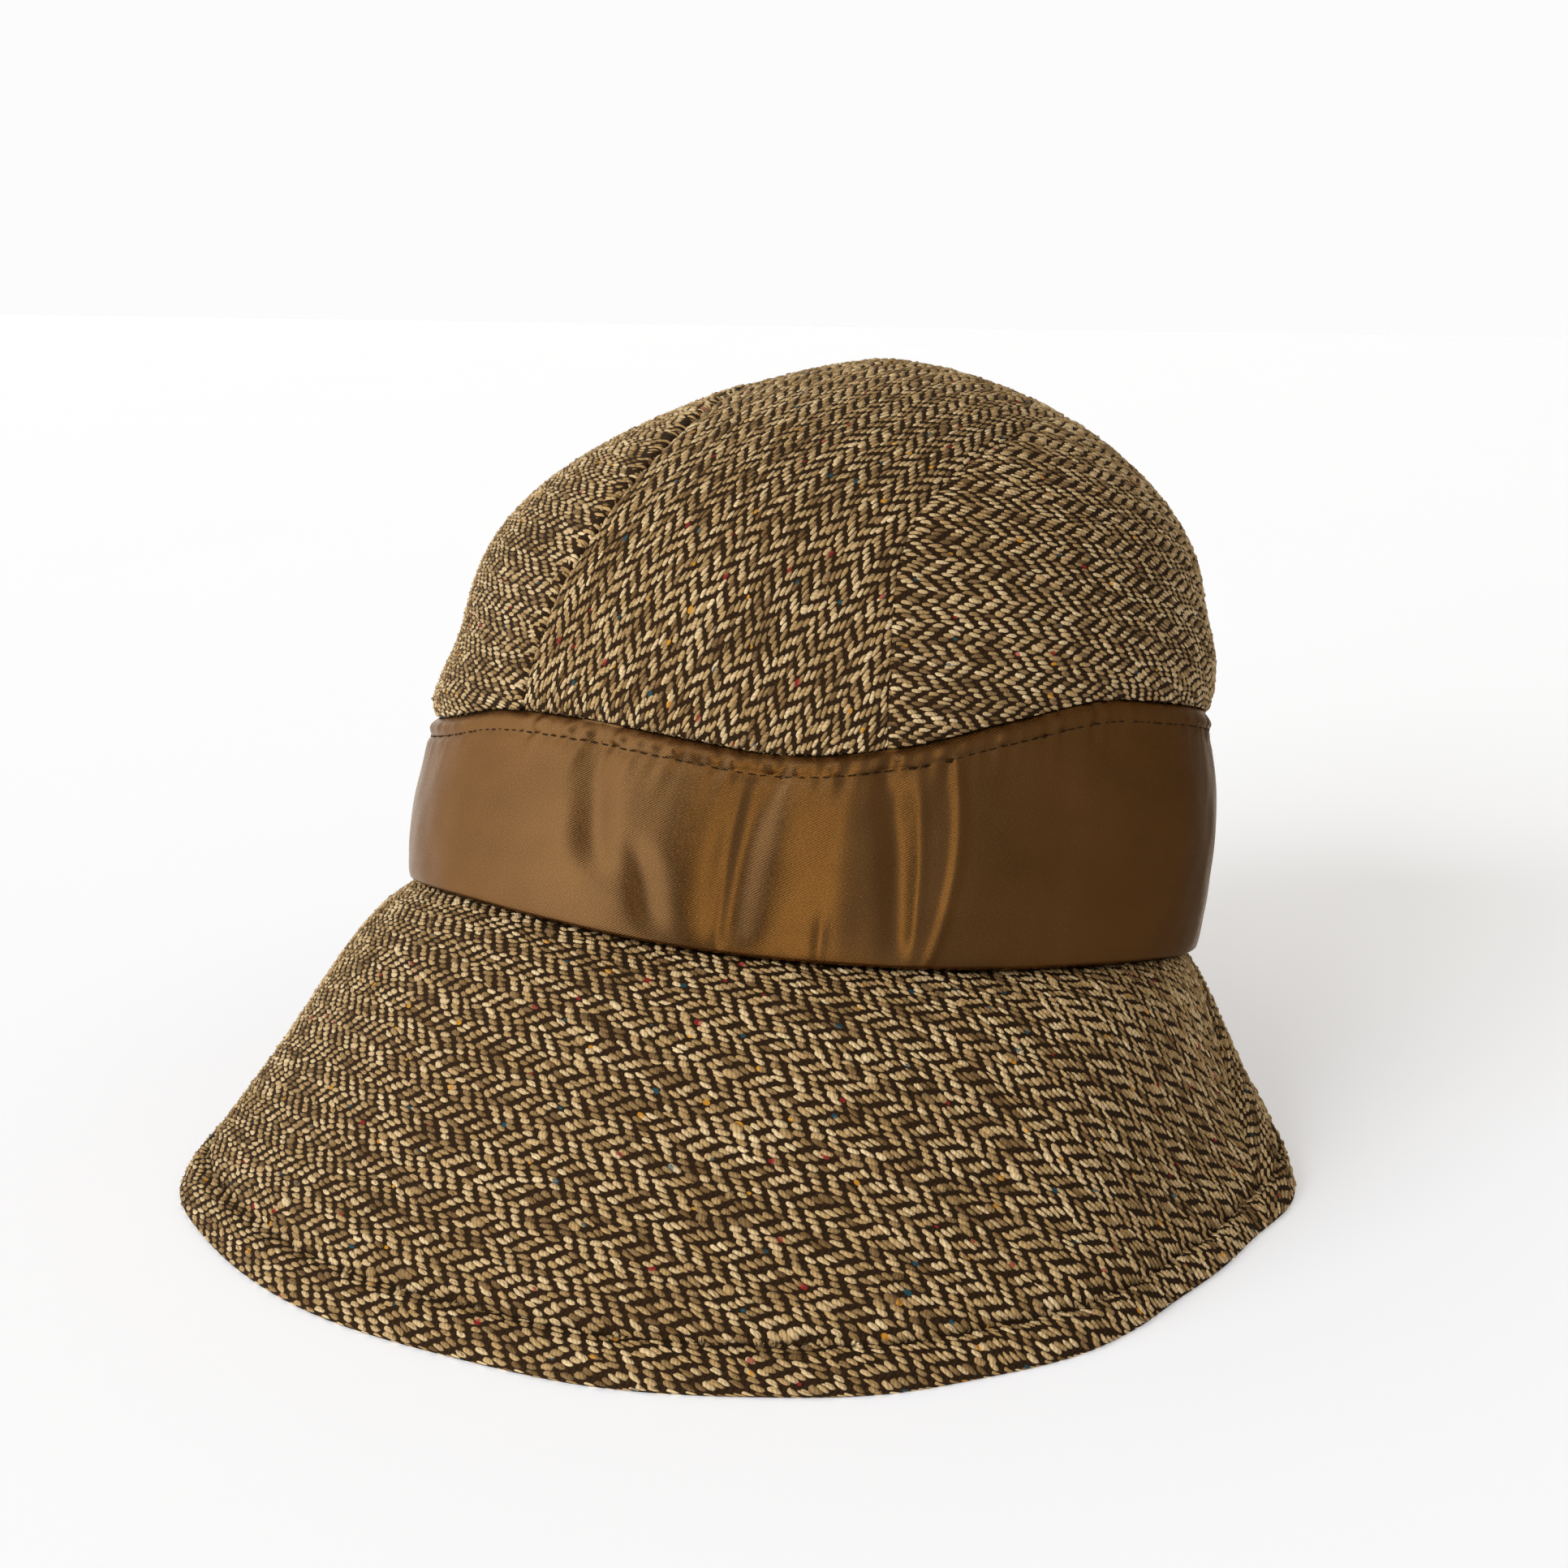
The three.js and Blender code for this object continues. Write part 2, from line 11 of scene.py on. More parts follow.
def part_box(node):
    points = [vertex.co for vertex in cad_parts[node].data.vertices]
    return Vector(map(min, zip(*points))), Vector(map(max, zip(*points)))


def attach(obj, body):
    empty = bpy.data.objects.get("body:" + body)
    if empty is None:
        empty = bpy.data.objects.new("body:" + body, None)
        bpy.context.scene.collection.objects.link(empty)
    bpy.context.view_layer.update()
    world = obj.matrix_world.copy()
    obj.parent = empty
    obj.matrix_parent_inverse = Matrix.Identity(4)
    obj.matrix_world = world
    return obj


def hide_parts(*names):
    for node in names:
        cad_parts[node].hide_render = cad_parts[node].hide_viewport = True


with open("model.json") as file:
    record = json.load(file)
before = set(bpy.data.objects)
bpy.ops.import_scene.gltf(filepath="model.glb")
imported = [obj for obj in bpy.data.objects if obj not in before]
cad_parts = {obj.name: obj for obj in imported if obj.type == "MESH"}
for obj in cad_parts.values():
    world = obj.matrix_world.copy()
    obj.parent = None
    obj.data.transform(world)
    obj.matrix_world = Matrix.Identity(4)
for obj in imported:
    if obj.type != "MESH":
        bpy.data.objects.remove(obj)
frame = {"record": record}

bl_info = {
    "name": "Tweed cloche hat",
    "version": (1, 0, 0),
    "blender": (4, 5, 0),
    "location": "3D View > Sidebar > Hat",
    "description": "Dresses a cloche hat in herringbone tweed, a satin band and thread, and sets its stage",
    "category": "Object",
}

# Shapes are worked out in millimetres and degrees, and meshes are written in metres.
# Angles run round the hat from the front, plus towards plus X.
MM = 0.001
SMALL = 1e-6
TINY = 1e-9
UP = np.array([0.0, 0.0, 1.0])
FLOOR_PLAN = np.array([1.0, 1.0, 0.0])
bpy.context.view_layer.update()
RECORD_COLOURS = {row["slot"]: row["base_color"][:3] for row in frame["record"]["materials"]}

# Head oval, crown and how they sit over the brim, as the solids have them
HEAD_HALF_WIDTH = 89.3
HEAD_HALF_DEPTH = 99.0
CROWN_HEIGHT = 136.1
SHOULDER_HEIGHT = 64.6
DOME_RISE = CROWN_HEIGHT - SHOULDER_HEIGHT
DOME_RISE_POWER = 2.24
DOME_SPREAD_POWER = 1.43
DOME_SPREAD_SIDEWAYS = 0.33
CROWN_LEAN_SIDE = 0.0055
CROWN_SLUMP_SIDE = 0.000184
CROWN_LEAN_BACK = 0.0046
CROWN_SLUMP_BACK = 0.000302
SIDE_DENT_DEPTH = 1.6
SIDE_DENT_HEIGHT = 84.0
SIDE_DENT_SPREAD = 9.0
LEFT_FADE_POWER = 1.5
TILT_BACK = 10.84
TILT_SIDE = 1.88
BAND_PLACE = np.array([1.0, 26.7, 45.9])
OUTLINE_CENTRE = np.array([0.063, 0.487, 0.0])

# Point inside the crown from which the strip's stations are sighted
HUB = np.array([0.0, 3.0, 50.0])
HUB_REACH = 130.0
FRONT_STATIONS = (-25.0, 40.0)
BACK_STATIONS = (205.0, 140.0)
HALVINGS = 44
NORMAL_STEP = 0.6

# Brim
RIM_EDGE_ROUND = 1.0
RIM_EDGE_TUCK = 0.8
BRIM_SHOULDER = 5.7
BRIM_SHOULDER_SIDEWAYS = 0.6
BRIM_SHOULDER_SHARE = 0.1
BRIM_SHOULDER_END = 0.2
BRIM_RIDGE_TAPER = 0.8
SIDE_SEAM_AT_BAND = 107.0
SIDE_SEAM_AT_EDGE = 81.0
SIDE_SEAM_LAP = 0.04
SIDE_SEAM_DEPTH = 0.8
SIDE_SEAM_REACH = 2.2
BRIM_MEAN_RADIUS = 107.0
EDGE_TURNS = (30.0, 60.0, 90.0)

# Cloth
TWEED_THICKNESS = 2.0
BAND_THICKNESS = 1.8
BRIM_THICKNESS = 3.0
SEAM_GAP = 0.34
CROWN_SEAM_LAP = 0.1
STRAY_LIMIT = 6.0
SHARP_EDGE = 50.0
WELD_REACH = 1e-6
SLIVER_REACH = 1e-7

# Mesh counts, rows then columns, and how far lines are drawn together towards the seams
STRIP_GRID = (121, 49)
SIDE_GRID = (41, 113)
BAND_GRID = (50, 520)
BAND_COLUMN_SHARES = (0.0, 0.22, 0.78, 1.0)
BAND_COLUMN_ANGLES = (-180.0, -24.0, 62.0, 180.0)
BRIM_FRONT_GRID = (56, 200)
BRIM_BACK_GRID = (48, 130)
ACROSS_PINCH = 0.6
ALONG_PINCH = 0.4
BAND_PINCH = 0.7
BRIM_PINCH = 0.5

# Flat layouts: how coarse they are evened out, how often and by what share of each miss
RELAX_STRIDES = (8, 4)
RELAX_ROUNDS = 300
RELAX_STEP = 0.5

# Herringbone: four ends to a column, and warp floats that repeat every four picks
COLUMN_ENDS = 4
REPEAT_PICKS = 4
FOLDED_LIMIT = 0.03
LONGEST_STRETCH = 1.35
STRETCH_SLACK = 0.1
TONE_PLANE = 3.7

# Warp floats: what their unevenness is divided by, and the least and most of each measure
FLOAT_SPREADS = {"width": (1.0, 0.55, 1.4), "length": (1.5, 0.6, 1.3), "rise": (1.0, 0.5, 1.45)}
END_CALM = 2.0
DRIFT_CALM = 2.0
SWING_CALM = 1.6
DRIFT_SHARES = (0.7, 1.3)
SLUB_GAIN = 1.35
FLOAT_MAP_REACH = np.array([0.44, 0.94])

# Bump of each finish in millimetres
YARN_BUMP = 0.16
GROUND_BUMP = 0.3
SATIN_BUMP = 0.09
THREAD_BUMP = 0.08
FLOOR_BUMP = 0.1

# Stitches: points along a row, three lines in millimetres that give its tilt, how far ahead a stitch is
# sighted, and its lift, dip and taper in thread radii
ROW_POINTS = 1440
ROW_LINES = np.array([[0.3], [0.0], [-0.3]])
STITCH_SIGHT = 0.2
STITCH_LIFT = 0.7
STITCH_DIP = 1.7
STITCH_TAPER = 0.55

# Stage
FLOOR_REACH = 6.0
KEY_PLACE = (0.0, 0.0, 1.0)
SENSOR_WIDTH = 36.0


class Table:
    """Named columns of numbers, read smoothly between rows by the first column."""

    def __init__(self, names, rows):
        self.columns = dict(zip(names.split(), np.array(rows, float).T))
        self.key = next(iter(self.columns.values()))

    def read(self, column, at):
        key, value = self.key, self.columns[column]
        at = np.clip(at, key[0], key[-1])
        i = np.clip(np.searchsorted(key, at) - 1, 0, len(key) - 2)
        before = np.maximum(np.arange(len(key)) - 1, 0)
        after = np.minimum(np.arange(len(key)) + 1, len(key) - 1)
        slope = (value[after] - value[before]) / (key[after] - key[before])
        span = key[i + 1] - key[i]
        t = (at - key[i]) / span
        start = value[i] * (2 * t**3 - 3 * t**2 + 1) + slope[i] * span * (t**3 - 2 * t**2 + t)
        return start + value[i + 1] * (3 * t**2 - 2 * t**3) + slope[i + 1] * span * (t**3 - t**2)

    def rows(self):
        return zip(*self.columns.values())


# Band: heights of its lower and upper seams round the head
BAND_SEAMS = Table("angle lower upper", [
    (-180, 0.0, 46.0), (-150, 0.0, 43.5), (-120, 0.0, 41.0), (-90, 0.0, 39.0), (-60, 0.4, 39.0),
    (-45, 1.4, 40.8), (-30, 2.0, 44.3), (-15, 1.4, 44.6), (0, 0.4, 43.1), (15, 0.0, 41.8),
    (30, 0.2, 45.6), (45, 0.7, 52.9), (60, 1.5, 59.0), (75, 1.8, 59.8), (90, 1.2, 59.3),
    (105, 0.8, 58.0), (120, 0.4, 55.0), (150, 0.0, 49.0), (180, 0.0, 46.0),
])

# Band: how far it stands out from the head oval, from lower to upper seam, right and left
BAND_PROFILE = Table("rise right left", [
    (0.0, 1.2, 3.4), (0.03, 3.2, 5.2), (0.07, 4.6, 6.2), (0.15, 5.8, 6.6), (0.3, 6.3, 6.8), (0.5, 6.2, 6.5),
    (0.7, 4.6, 5.9), (0.84, 2.6, 5.8), (0.895, 1.5, 5.5), (0.95, 1.3, 5.6), (1.0, -0.6, 4.4),
])

# Crown: how the tweed puffs out over the band's upper seam, right and left
CROWN_PUFF = Table("above right left", [
    (0, -0.6, 4.4), (2, 0.4, 5.8), (5, 0.9, 6.2), (10, 0.7, 5.0), (20, 0.2, 1.4), (32, 0.0, 0.0),
])

# Brim: distance of its edge from the middle of the hat, round the floor
RIM = Table("angle radius", [
    (-180, 137.7), (-160, 131.0), (-142, 126.8), (-124, 123.7), (-107, 121.5), (-96, 124.2),
    (-88, 126.2), (-78, 125.2), (-69, 126.8), (-60, 131.6), (-50, 137.4), (-38, 137.4), (-20, 137.7),
    (-5, 136.8), (8, 138.7), (20, 139.0), (30, 139.7), (38, 137.8), (47, 136.2), (54, 132.8), (61, 128.6),
    (70, 126.1), (78, 124.7), (88, 126.4), (96, 124.0), (107, 121.0), (124, 123.7), (142, 126.8),
    (160, 131.0), (180, 137.7),
])

# Crown: the strip's two seams, station by station from front over the top to the back
STRIP_SEAMS = Table("station left right", [
    (-10, -40.5, 43.0), (0, -38.5, 42.6), (12, -34.0, 41.2), (20, -28.0, 40.2), (28, -24.0, 40.6),
    (36, -21.0, 43.5), (46, -19.4, 47.2), (56, -19.0, 50.0), (75, -19.5, 51.5), (95, -20.5, 50.5),
    (120, -23.5, 46.5), (150, -31.0, 42.0), (190, -39.0, 41.0),
])

# Brim: how far it bows out from the straight line between band and edge
BRIM_PROFILE = Table("along bow", [
    (0.0, 0.0), (0.03, 0.25), (0.06, 0.47), (0.11, 0.76), (0.17, 0.95), (0.24, 1.0), (0.32, 0.92),
    (0.45, 0.66), (0.58, 0.4), (0.72, 0.24), (0.86, 0.12), (1.0, 0.0),
])

# Brim: soft standing bends that run from band to edge
BRIM_RIDGES = Table("angle spread height", [
    (-128, 20, 0.9), (-62, 22, 0.9), (60, 13, 1.3), (112, 18, 1.9),
])

# Seams of the crown: how deep the cloth is drawn in, and how it puffs beside the seam
SEAM_SHAPES = {
    "strip_left": {"depth": 0.8, "reach": 1.2, "puff": 0.0, "puff_reach": 4.0},
    "strip_right": {"depth": 0.35, "reach": 0.9, "puff": 0.15, "puff_reach": 4.0},
    "side_left": {"depth": 0.5, "reach": 0.7, "puff": 0.5, "puff_reach": 3.6},
    "side_right": {"depth": 0.35, "reach": 0.9, "puff": 0.2, "puff_reach": 4.0},
}
PUCKER_PITCH = 6.4
PUCKER_HEIGHT = 0.12

# Satin band: upright folds. Where each lies at the lower seam, half-way and at the upper seam, how wide
# and high it is, and between which shares of the band's height it runs
BAND_FOLDS = Table("bottom middle top spread height start end", [
    (-60, -58, -57, 8.0, 0.4, -0.2, 1.2), (-5.0, -8.4, -11.0, 2.9, -1.5, 0.25, 1.1),
    (2, -2, -6, 2.4, -1.0, 0.0, 0.55), (3, 2, 1, 4.0, 0.5, 0.3, 1.1),
    (11.0, 11.6, 14.0, 3.0, -1.7, 0.0, 1.05), (9.6, 10.0, 10.6, 0.7, 0.3, -0.1, 0.9),
    (22.2, 22.0, 21.8, 0.8, 0.4, -0.1, 0.3), (24.0, 23.5, 23.0, 2.6, 0.45, -0.1, 0.9),
    (31.8, 30.4, 28.2, 2.0, -1.3, 0.0, 1.05), (33.6, 33.2, 32.0, 0.8, 0.35, 0.0, 0.9),
    (35.6, 37.8, 36.6, 0.8, 0.6, -0.05, 1.05), (53, 53, 53, 2.2, -0.35, -0.1, 1.1),
    (78, 78, 78, 9.0, 0.3, -0.2, 1.2), (127, 128, 129, 4.0, 0.8, 0.0, 1.1),
    (150, 149, 147, 3.0, -0.8, 0.1, 1.1), (171, 172, 174, 4.0, 0.7, 0.0, 1.1),
    (200, 200, 202, 3.0, -0.8, 0.1, 1.1), (226, 226, 225, 5.0, 0.5, 0.0, 1.1),
    (262, 262, 262, 8.0, 0.4, -0.2, 1.2),
])

# Satin band: faint unevenness. Whole waves round the hat, radians a millimetre up it, start and height
BAND_UNEVEN = Table("waves up start size", [
    (12, 0.09, 0.7, 0.12), (21, -0.14, 2.1, 0.08), (36, 0.22, 4.4, 0.045), (53, -0.3, 1.2, 0.03),
])
FOLD_FADE = 0.16
FOLD_HOLD = 0.3
FOLD_FULLNESS = 1.2
LOWER_ROLL = 0.025
LOWER_ROLL_END = 0.15
LOWER_ROLL_FULLNESS = 0.7
TOPSTITCH_GROOVE = 0.4
TOPSTITCH_GROOVE_REACH = 0.7
ALLOWANCE_PUFF = 0.18
ALLOWANCE_RIPPLE = 0.16
ALLOWANCE_RIPPLE_PITCHES = (2.7, 4.3)
ALLOWANCE_RIPPLE_SLANT = 0.3
PUCKER_FADE = 3.0

# Brim's edge row: a sunken line of stitches beside a slightly padded edge
EDGE_ROW_DEPTH = 1.7
EDGE_ROW_REACH = 1.5
EDGE_PUFF = 1.0

# How each panel was laid on the tweed: degrees from its downward line to the columns, an offset in
# ends, and how far it is stretched across the columns
CUTS = {
    "crown_center_panel": (163.5, 0.0, 0.95),
    "crown_side_panel_left": (68.0, 3.0, 1.0),
    "crown_side_panel_right": (68.0, 1.0, 1.0),
    "brim_front": (75.0, 0.0, 1.14),
    "brim_back": (75.0, 2.0, 1.14),
}
BRIM_FANS = {"brim_front": 0.2, "brim_back": 0.8}

# How yarns wander from straight lines: waves in radians a millimetre, their size in yarns, and how much
# quicker the picks wander than the ends
PICK_WANDER_PACE = 1.3
WEAVE_WANDER = Table("sideways downwards start size", [
    (0.31, 0.17, 0.4, 0.15), (-0.23, 0.42, 1.9, 0.13), (0.52, -0.36, 3.1, 0.09), (0.11, 0.07, 5.0, 0.25),
])

# Room that glossy cloth mirrors, by degrees round from the front: a cool window on the left, a warm
# lamp on the right of the front, and dark corners between
MIRRORED_ROOM = (
    (-178, (0.49, 0.46, 0.39)), (-150, (0.6, 0.57, 0.5)), (-112, (0.55, 0.57, 0.57)),
    (-60, (0.58, 0.65, 0.73)), (-32, (0.71, 0.8, 0.92)), (-19, (0.026, 0.026, 0.026)),
    (4, (0.026, 0.026, 0.026)), (12, (0.57, 0.53, 0.34)), (20, (0.93, 0.86, 0.58)),
    (29, (0.65, 0.6, 0.4)), (37, (0.035, 0.035, 0.035)), (45, (0.035, 0.035, 0.035)),
    (48, (0.28, 0.31, 0.35)), (56, (0.24, 0.27, 0.3)), (64, (0.113, 0.113, 0.104)),
    (90, (0.148, 0.143, 0.122)), (150, (0.12, 0.104, 0.078)),
)

# Allowance of the crown's cloth that is turned in behind the band
ALLOWANCE_STEP = 2.2
ALLOWANCE_THICKNESS = 0.7
ALLOWANCE_DROP = 4.0


def size(name, description, millimetres):
    return FloatProperty(name=name, description=description, default=millimetres * MM, min=0.0,
                         precision=5, unit="LENGTH")


def share(name, description, default):
    return FloatProperty(name=name, description=description, default=default, min=0.0, subtype="FACTOR")


def colour(name, description, default):
    return FloatVectorProperty(name=name, description=description, default=default, min=0.0, max=1.0,
                               size=3, subtype="COLOR")


def bearing(name, description, degrees):
    return FloatProperty(name=name, description=description, default=math.radians(degrees), subtype="ANGLE")


def spot(name, description, metres):
    return FloatVectorProperty(name=name, description=description, default=metres, subtype="TRANSLATION")


class HatTweed(bpy.types.PropertyGroup):
    """Yarns and shades of the herringbone tweed."""

    end_spacing: size("End spacing", "Width that one warp yarn takes", 0.88)
    pick_spacing: size("Pick spacing", "Length that one weft yarn takes", 1.02)
    yarn_rise: size("Yarn rise", "How far a warp float stands out of the cloth", 0.37)
    yarn_sink: size("Yarn sink", "How far a warp float's sides lie in the cloth", 0.16)
    float_length: share("Float length", "Half a warp float, in picks", 1.36)
    float_width: share("Float width", "Half a warp float's width, in ends", 0.64)
    yarn_unevenness: share("Unevenness", "How much floats differ in width, height and place", 0.27)
    slub_share: share("Slubs", "Share of floats that are thick", 0.07)
    seed: IntProperty(name="Seed", description="Start of the yarn's random draws", default=7)
    warp_pale: colour("Pale warp", "Lightest wool of the warp", (0.82, 0.635, 0.375))
    warp_cream: colour("Cream warp", "Common wool of the warp", (0.49, 0.32, 0.138))
    warp_tan: colour("Tan warp", "Darkest wool of the warp", (0.17, 0.094, 0.033))
    weft_brown: colour("Brown weft", "Common wool of the weft", (0.011, 0.0055, 0.0028))
    weft_light: colour("Light weft", "Lighter fibres of the weft", (0.070, 0.037, 0.016))
    fleck_red: colour("Red fleck", "Red wool flecks", (0.28, 0.02, 0.022))
    fleck_blue: colour("Blue fleck", "Teal wool flecks", (0.018, 0.075, 0.105))
    fleck_gold: colour("Gold fleck", "Gold wool flecks", (0.60, 0.27, 0.03))


class HatSatin(bpy.types.PropertyGroup):
    """Shades and weave of the satin band."""

    ground: colour("Ground", "Satin's own colour", (0.19, 0.088, 0.029))
    gloss: share("Gloss", "How much of its light the satin throws back as from metal", 0.92)
    line_pitch: size("Line pitch", "Distance between the satin's slanting lines", 0.46)
    line_slope: bearing("Line slope", "Rise of the lines towards the right", 33)


class HatThread(bpy.types.PropertyGroup):
    """Sewing thread and its rows."""

    shade: colour("Thread", "Colour of the sewing thread", RECORD_COLOURS["thread"])
    thickness: size("Thickness", "Thread's diameter", 0.36)
    stitch_length: size("Stitch length", "Seen length of one stitch", 2.75)
    stitch_pitch: size("Stitch pitch", "Distance from stitch to stitch", 2.6)
    topstitch_drop: size("Topstitch drop", "Row's distance below the band's upper seam", 4.4)
    edge_row_inset: size("Edge row inset", "Row's distance from the brim's edge", 10.0)


class HatStage(bpy.types.PropertyGroup):
    """Floor, light and camera."""

    floor: colour("Floor", "Colour of the floor", (0.875, 0.91, 0.99))
    floor_glow: share("Floor glow", "Light that the floor gives off, so that it stays pale", 0.30)
    sky: share("Room light", "Strength of the even light all round", 0.55)
    sky_shade: colour("Room shade", "Colour of the even light all round", (1.0, 0.90, 0.74))
    gleam: share("Gleam", "Brightness of the windows that glossy cloth mirrors", 2.55)
    backdrop: share("Backdrop", "Brightness of the room behind the hat", 0.975)
    key: share("Key light", "Strength of the wide light in front at the upper left", 3.2)
    key_shade: colour("Key shade", "Colour of the wide light", (0.97, 0.99, 1.0))
    key_turn: bearing("Key direction", "Where the light stands, from the front to the left", 25)
    key_height: bearing("Key height", "How high the light stands", 15)
    key_width: bearing("Key width", "How wide the light is as the hat sees it", 45)
    lens: FloatProperty(name="Lens", description="Focal length of the camera", default=53.106,
                        subtype="DISTANCE_CAMERA")
    camera_place: spot("Camera", "Where the camera stands", (0.18935, -0.49070, 0.20357))
    camera_aim: spot("Aim", "Point that the camera looks at", (0.01722, -0.03469, 0.09210))
    camera_roll: bearing("Roll", "Camera's turn about its own axis", 0.19)


# Shape of the hat

def mix(a, b, t):
    return a + (b - a) * t


def turn(angle):
    return (angle + 180.0) % 360.0 - 180.0


def sine(degrees):
    return np.sin(np.radians(degrees))


def cosine(degrees):
    return np.cos(np.radians(degrees))


def unit(vectors):
    return vectors / np.maximum(np.linalg.norm(vectors, axis=-1, keepdims=True), TINY)


def bell(distance, reach):
    return np.exp(-((distance / reach) ** 2))


def eased_step(t):
    t = np.clip(t, 0.0, 1.0)
    return t * t * (3 - 2 * t)


def spread_ends(count, pinch):
    """Even shares from 0 to 1, drawn closer together at both ends."""
    even = np.linspace(0.0, 1.0, count)
    return even - pinch * np.sin(2 * np.pi * even) / (2 * np.pi)


def lower_seam(angle):
    return BAND_SEAMS.read("lower", turn(angle))


def upper_seam(angle):
    return BAND_SEAMS.read("upper", turn(angle))


def sided(table, at, angle):
    left = np.maximum(0.0, -sine(angle)) ** LEFT_FADE_POWER
    return mix(table.read("right", at), table.read("left", at), left)


def outward(angle, height):
    """How far the wall stands out from the head oval."""
    low, high = lower_seam(angle), upper_seam(angle)
    band = sided(BAND_PROFILE, (height - low) / (high - low), angle)
    dent = SIDE_DENT_DEPTH * np.maximum(0.0, sine(angle)) * bell(height - SIDE_DENT_HEIGHT, SIDE_DENT_SPREAD)
    return np.where(height <= high, band, sided(CROWN_PUFF, height - high, angle) - dent)


def dome_share(height):
    return np.clip((height - SHOULDER_HEIGHT) / DOME_RISE, 0.0, 1.0)


def spread_power(angle):
    return DOME_SPREAD_POWER + DOME_SPREAD_SIDEWAYS * sine(angle)


def middle_line(height):
    """Middle of the leaning crown and band at a height."""
    side = CROWN_LEAN_SIDE * height + CROWN_SLUMP_SIDE * height**2
    back = CROWN_LEAN_BACK * height + CROWN_SLUMP_BACK * height**2
    return np.stack([side, back, height], -1)


def wall_point(angle, height):
    """Outer wall of crown and band in the crown's own upright frame."""
    angle, height = np.broadcast_arrays(np.asarray(angle, float), np.asarray(height, float))
    out = outward(angle, height)
    shrink = (1 - dome_share(height) ** DOME_RISE_POWER) ** (1 / spread_power(angle))
    x = (HEAD_HALF_WIDTH + out) * shrink * sine(angle)
    y = -(HEAD_HALF_DEPTH + out) * shrink * cosine(angle)
    return middle_line(height) + np.stack([x, y, np.zeros_like(x)], -1)


def angle_of(points):
    x, y, _ = np.moveaxis(points - middle_line(points[..., 2]), -1, 0)
    return np.degrees(np.arctan2(x / HEAD_HALF_WIDTH, -y / HEAD_HALF_DEPTH))


def level(points):
    """Below zero inside the crown and band, above zero outside."""
    height, angle = points[..., 2], angle_of(points)
    out = outward(angle, height)
    x, y, _ = np.moveaxis(points - middle_line(height), -1, 0)
    away = np.hypot(x / (HEAD_HALF_WIDTH + out), y / (HEAD_HALF_DEPTH + out))
    over = np.maximum(0.0, (height - SHOULDER_HEIGHT) / DOME_RISE)
    return away ** spread_power(angle) + over**DOME_RISE_POWER - 1


def wall_normal(points):
    steps = NORMAL_STEP * np.eye(3)
    return unit(np.stack([level(points + step) - level(points - step) for step in steps], -1))


def sighted(sideways, station):
    """Crown wall met by a sight line from the hub, at one sideways place and station."""
    forward, up = cosine(station), sine(station)

    def at(reach):
        return np.stack([sideways, HUB[1] - reach * forward, HUB[2] + reach * up], -1)

    near, far = np.zeros_like(station), np.full_like(station, HUB_REACH)
    for _ in range(HALVINGS):
        reach = (near + far) / 2
        outside = level(at(reach)) > 0
        near, far = np.where(outside, near, reach), np.where(outside, reach, far)
    return at(near)


def strip_sideways(across, station):
    left = STRIP_SEAMS.read("left", station) - CROWN_SEAM_LAP / 2
    right = STRIP_SEAMS.read("right", station) + CROWN_SEAM_LAP / 2
    return mix(left, right, across)


def strip_end(across, stations):
    """Station where a line along the strip reaches the band's upper seam."""
    below, above = (np.full_like(across, station) for station in stations)
    for _ in range(HALVINGS):
        middle = (below + above) / 2
        point = sighted(strip_sideways(across, middle), middle)
        over = point[..., 2] > upper_seam(angle_of(point)) + SEAM_GAP
        below, above = np.where(over, below, middle), np.where(over, middle, above)
    return above


STAND_TURN = np.array(
    Matrix.Rotation(math.radians(TILT_SIDE), 3, "Y") @ Matrix.Rotation(-math.radians(TILT_BACK), 3, "X")
)


def stand(points):
    """From the crown's own frame to where the hat stands."""
    return points @ STAND_TURN.T + BAND_PLACE - OUTLINE_CENTRE


def dome_walk(height):
    """Height measured along the curve of the dome."""
    curved = SHOULDER_HEIGHT + DOME_RISE * np.arcsin(dome_share(height))
    return np.where(height <= SHOULDER_HEIGHT, height, curved)


def dome_height(walk):
    """Height that a walk along the curve of the dome reaches."""
    curved = SHOULDER_HEIGHT + DOME_RISE * np.sin((walk - SHOULDER_HEIGHT) / DOME_RISE)
    return np.where(walk <= SHOULDER_HEIGHT, walk, curved)


def seam_push(distance, along, shape):
    """How cloth is drawn in at a seam, puffs beside it and puckers along it."""
    beside = distance / shape["puff_reach"]
    drawn = -shape["depth"] * bell(distance, shape["reach"])
    puffed = shape["puff"] * beside * np.exp(1 - beside)
    return drawn + puffed + PUCKER_HEIGHT * np.exp(-beside) * np.sin(2 * np.pi * along / PUCKER_PITCH)


def lengths(points, axis):
    """Distance walked along one axis of a grid of points."""
    steps = np.linalg.norm(np.diff(points, axis=axis), axis=-1)
    return np.concatenate([np.zeros_like(steps.take([0], axis)), np.cumsum(steps, axis)], axis)


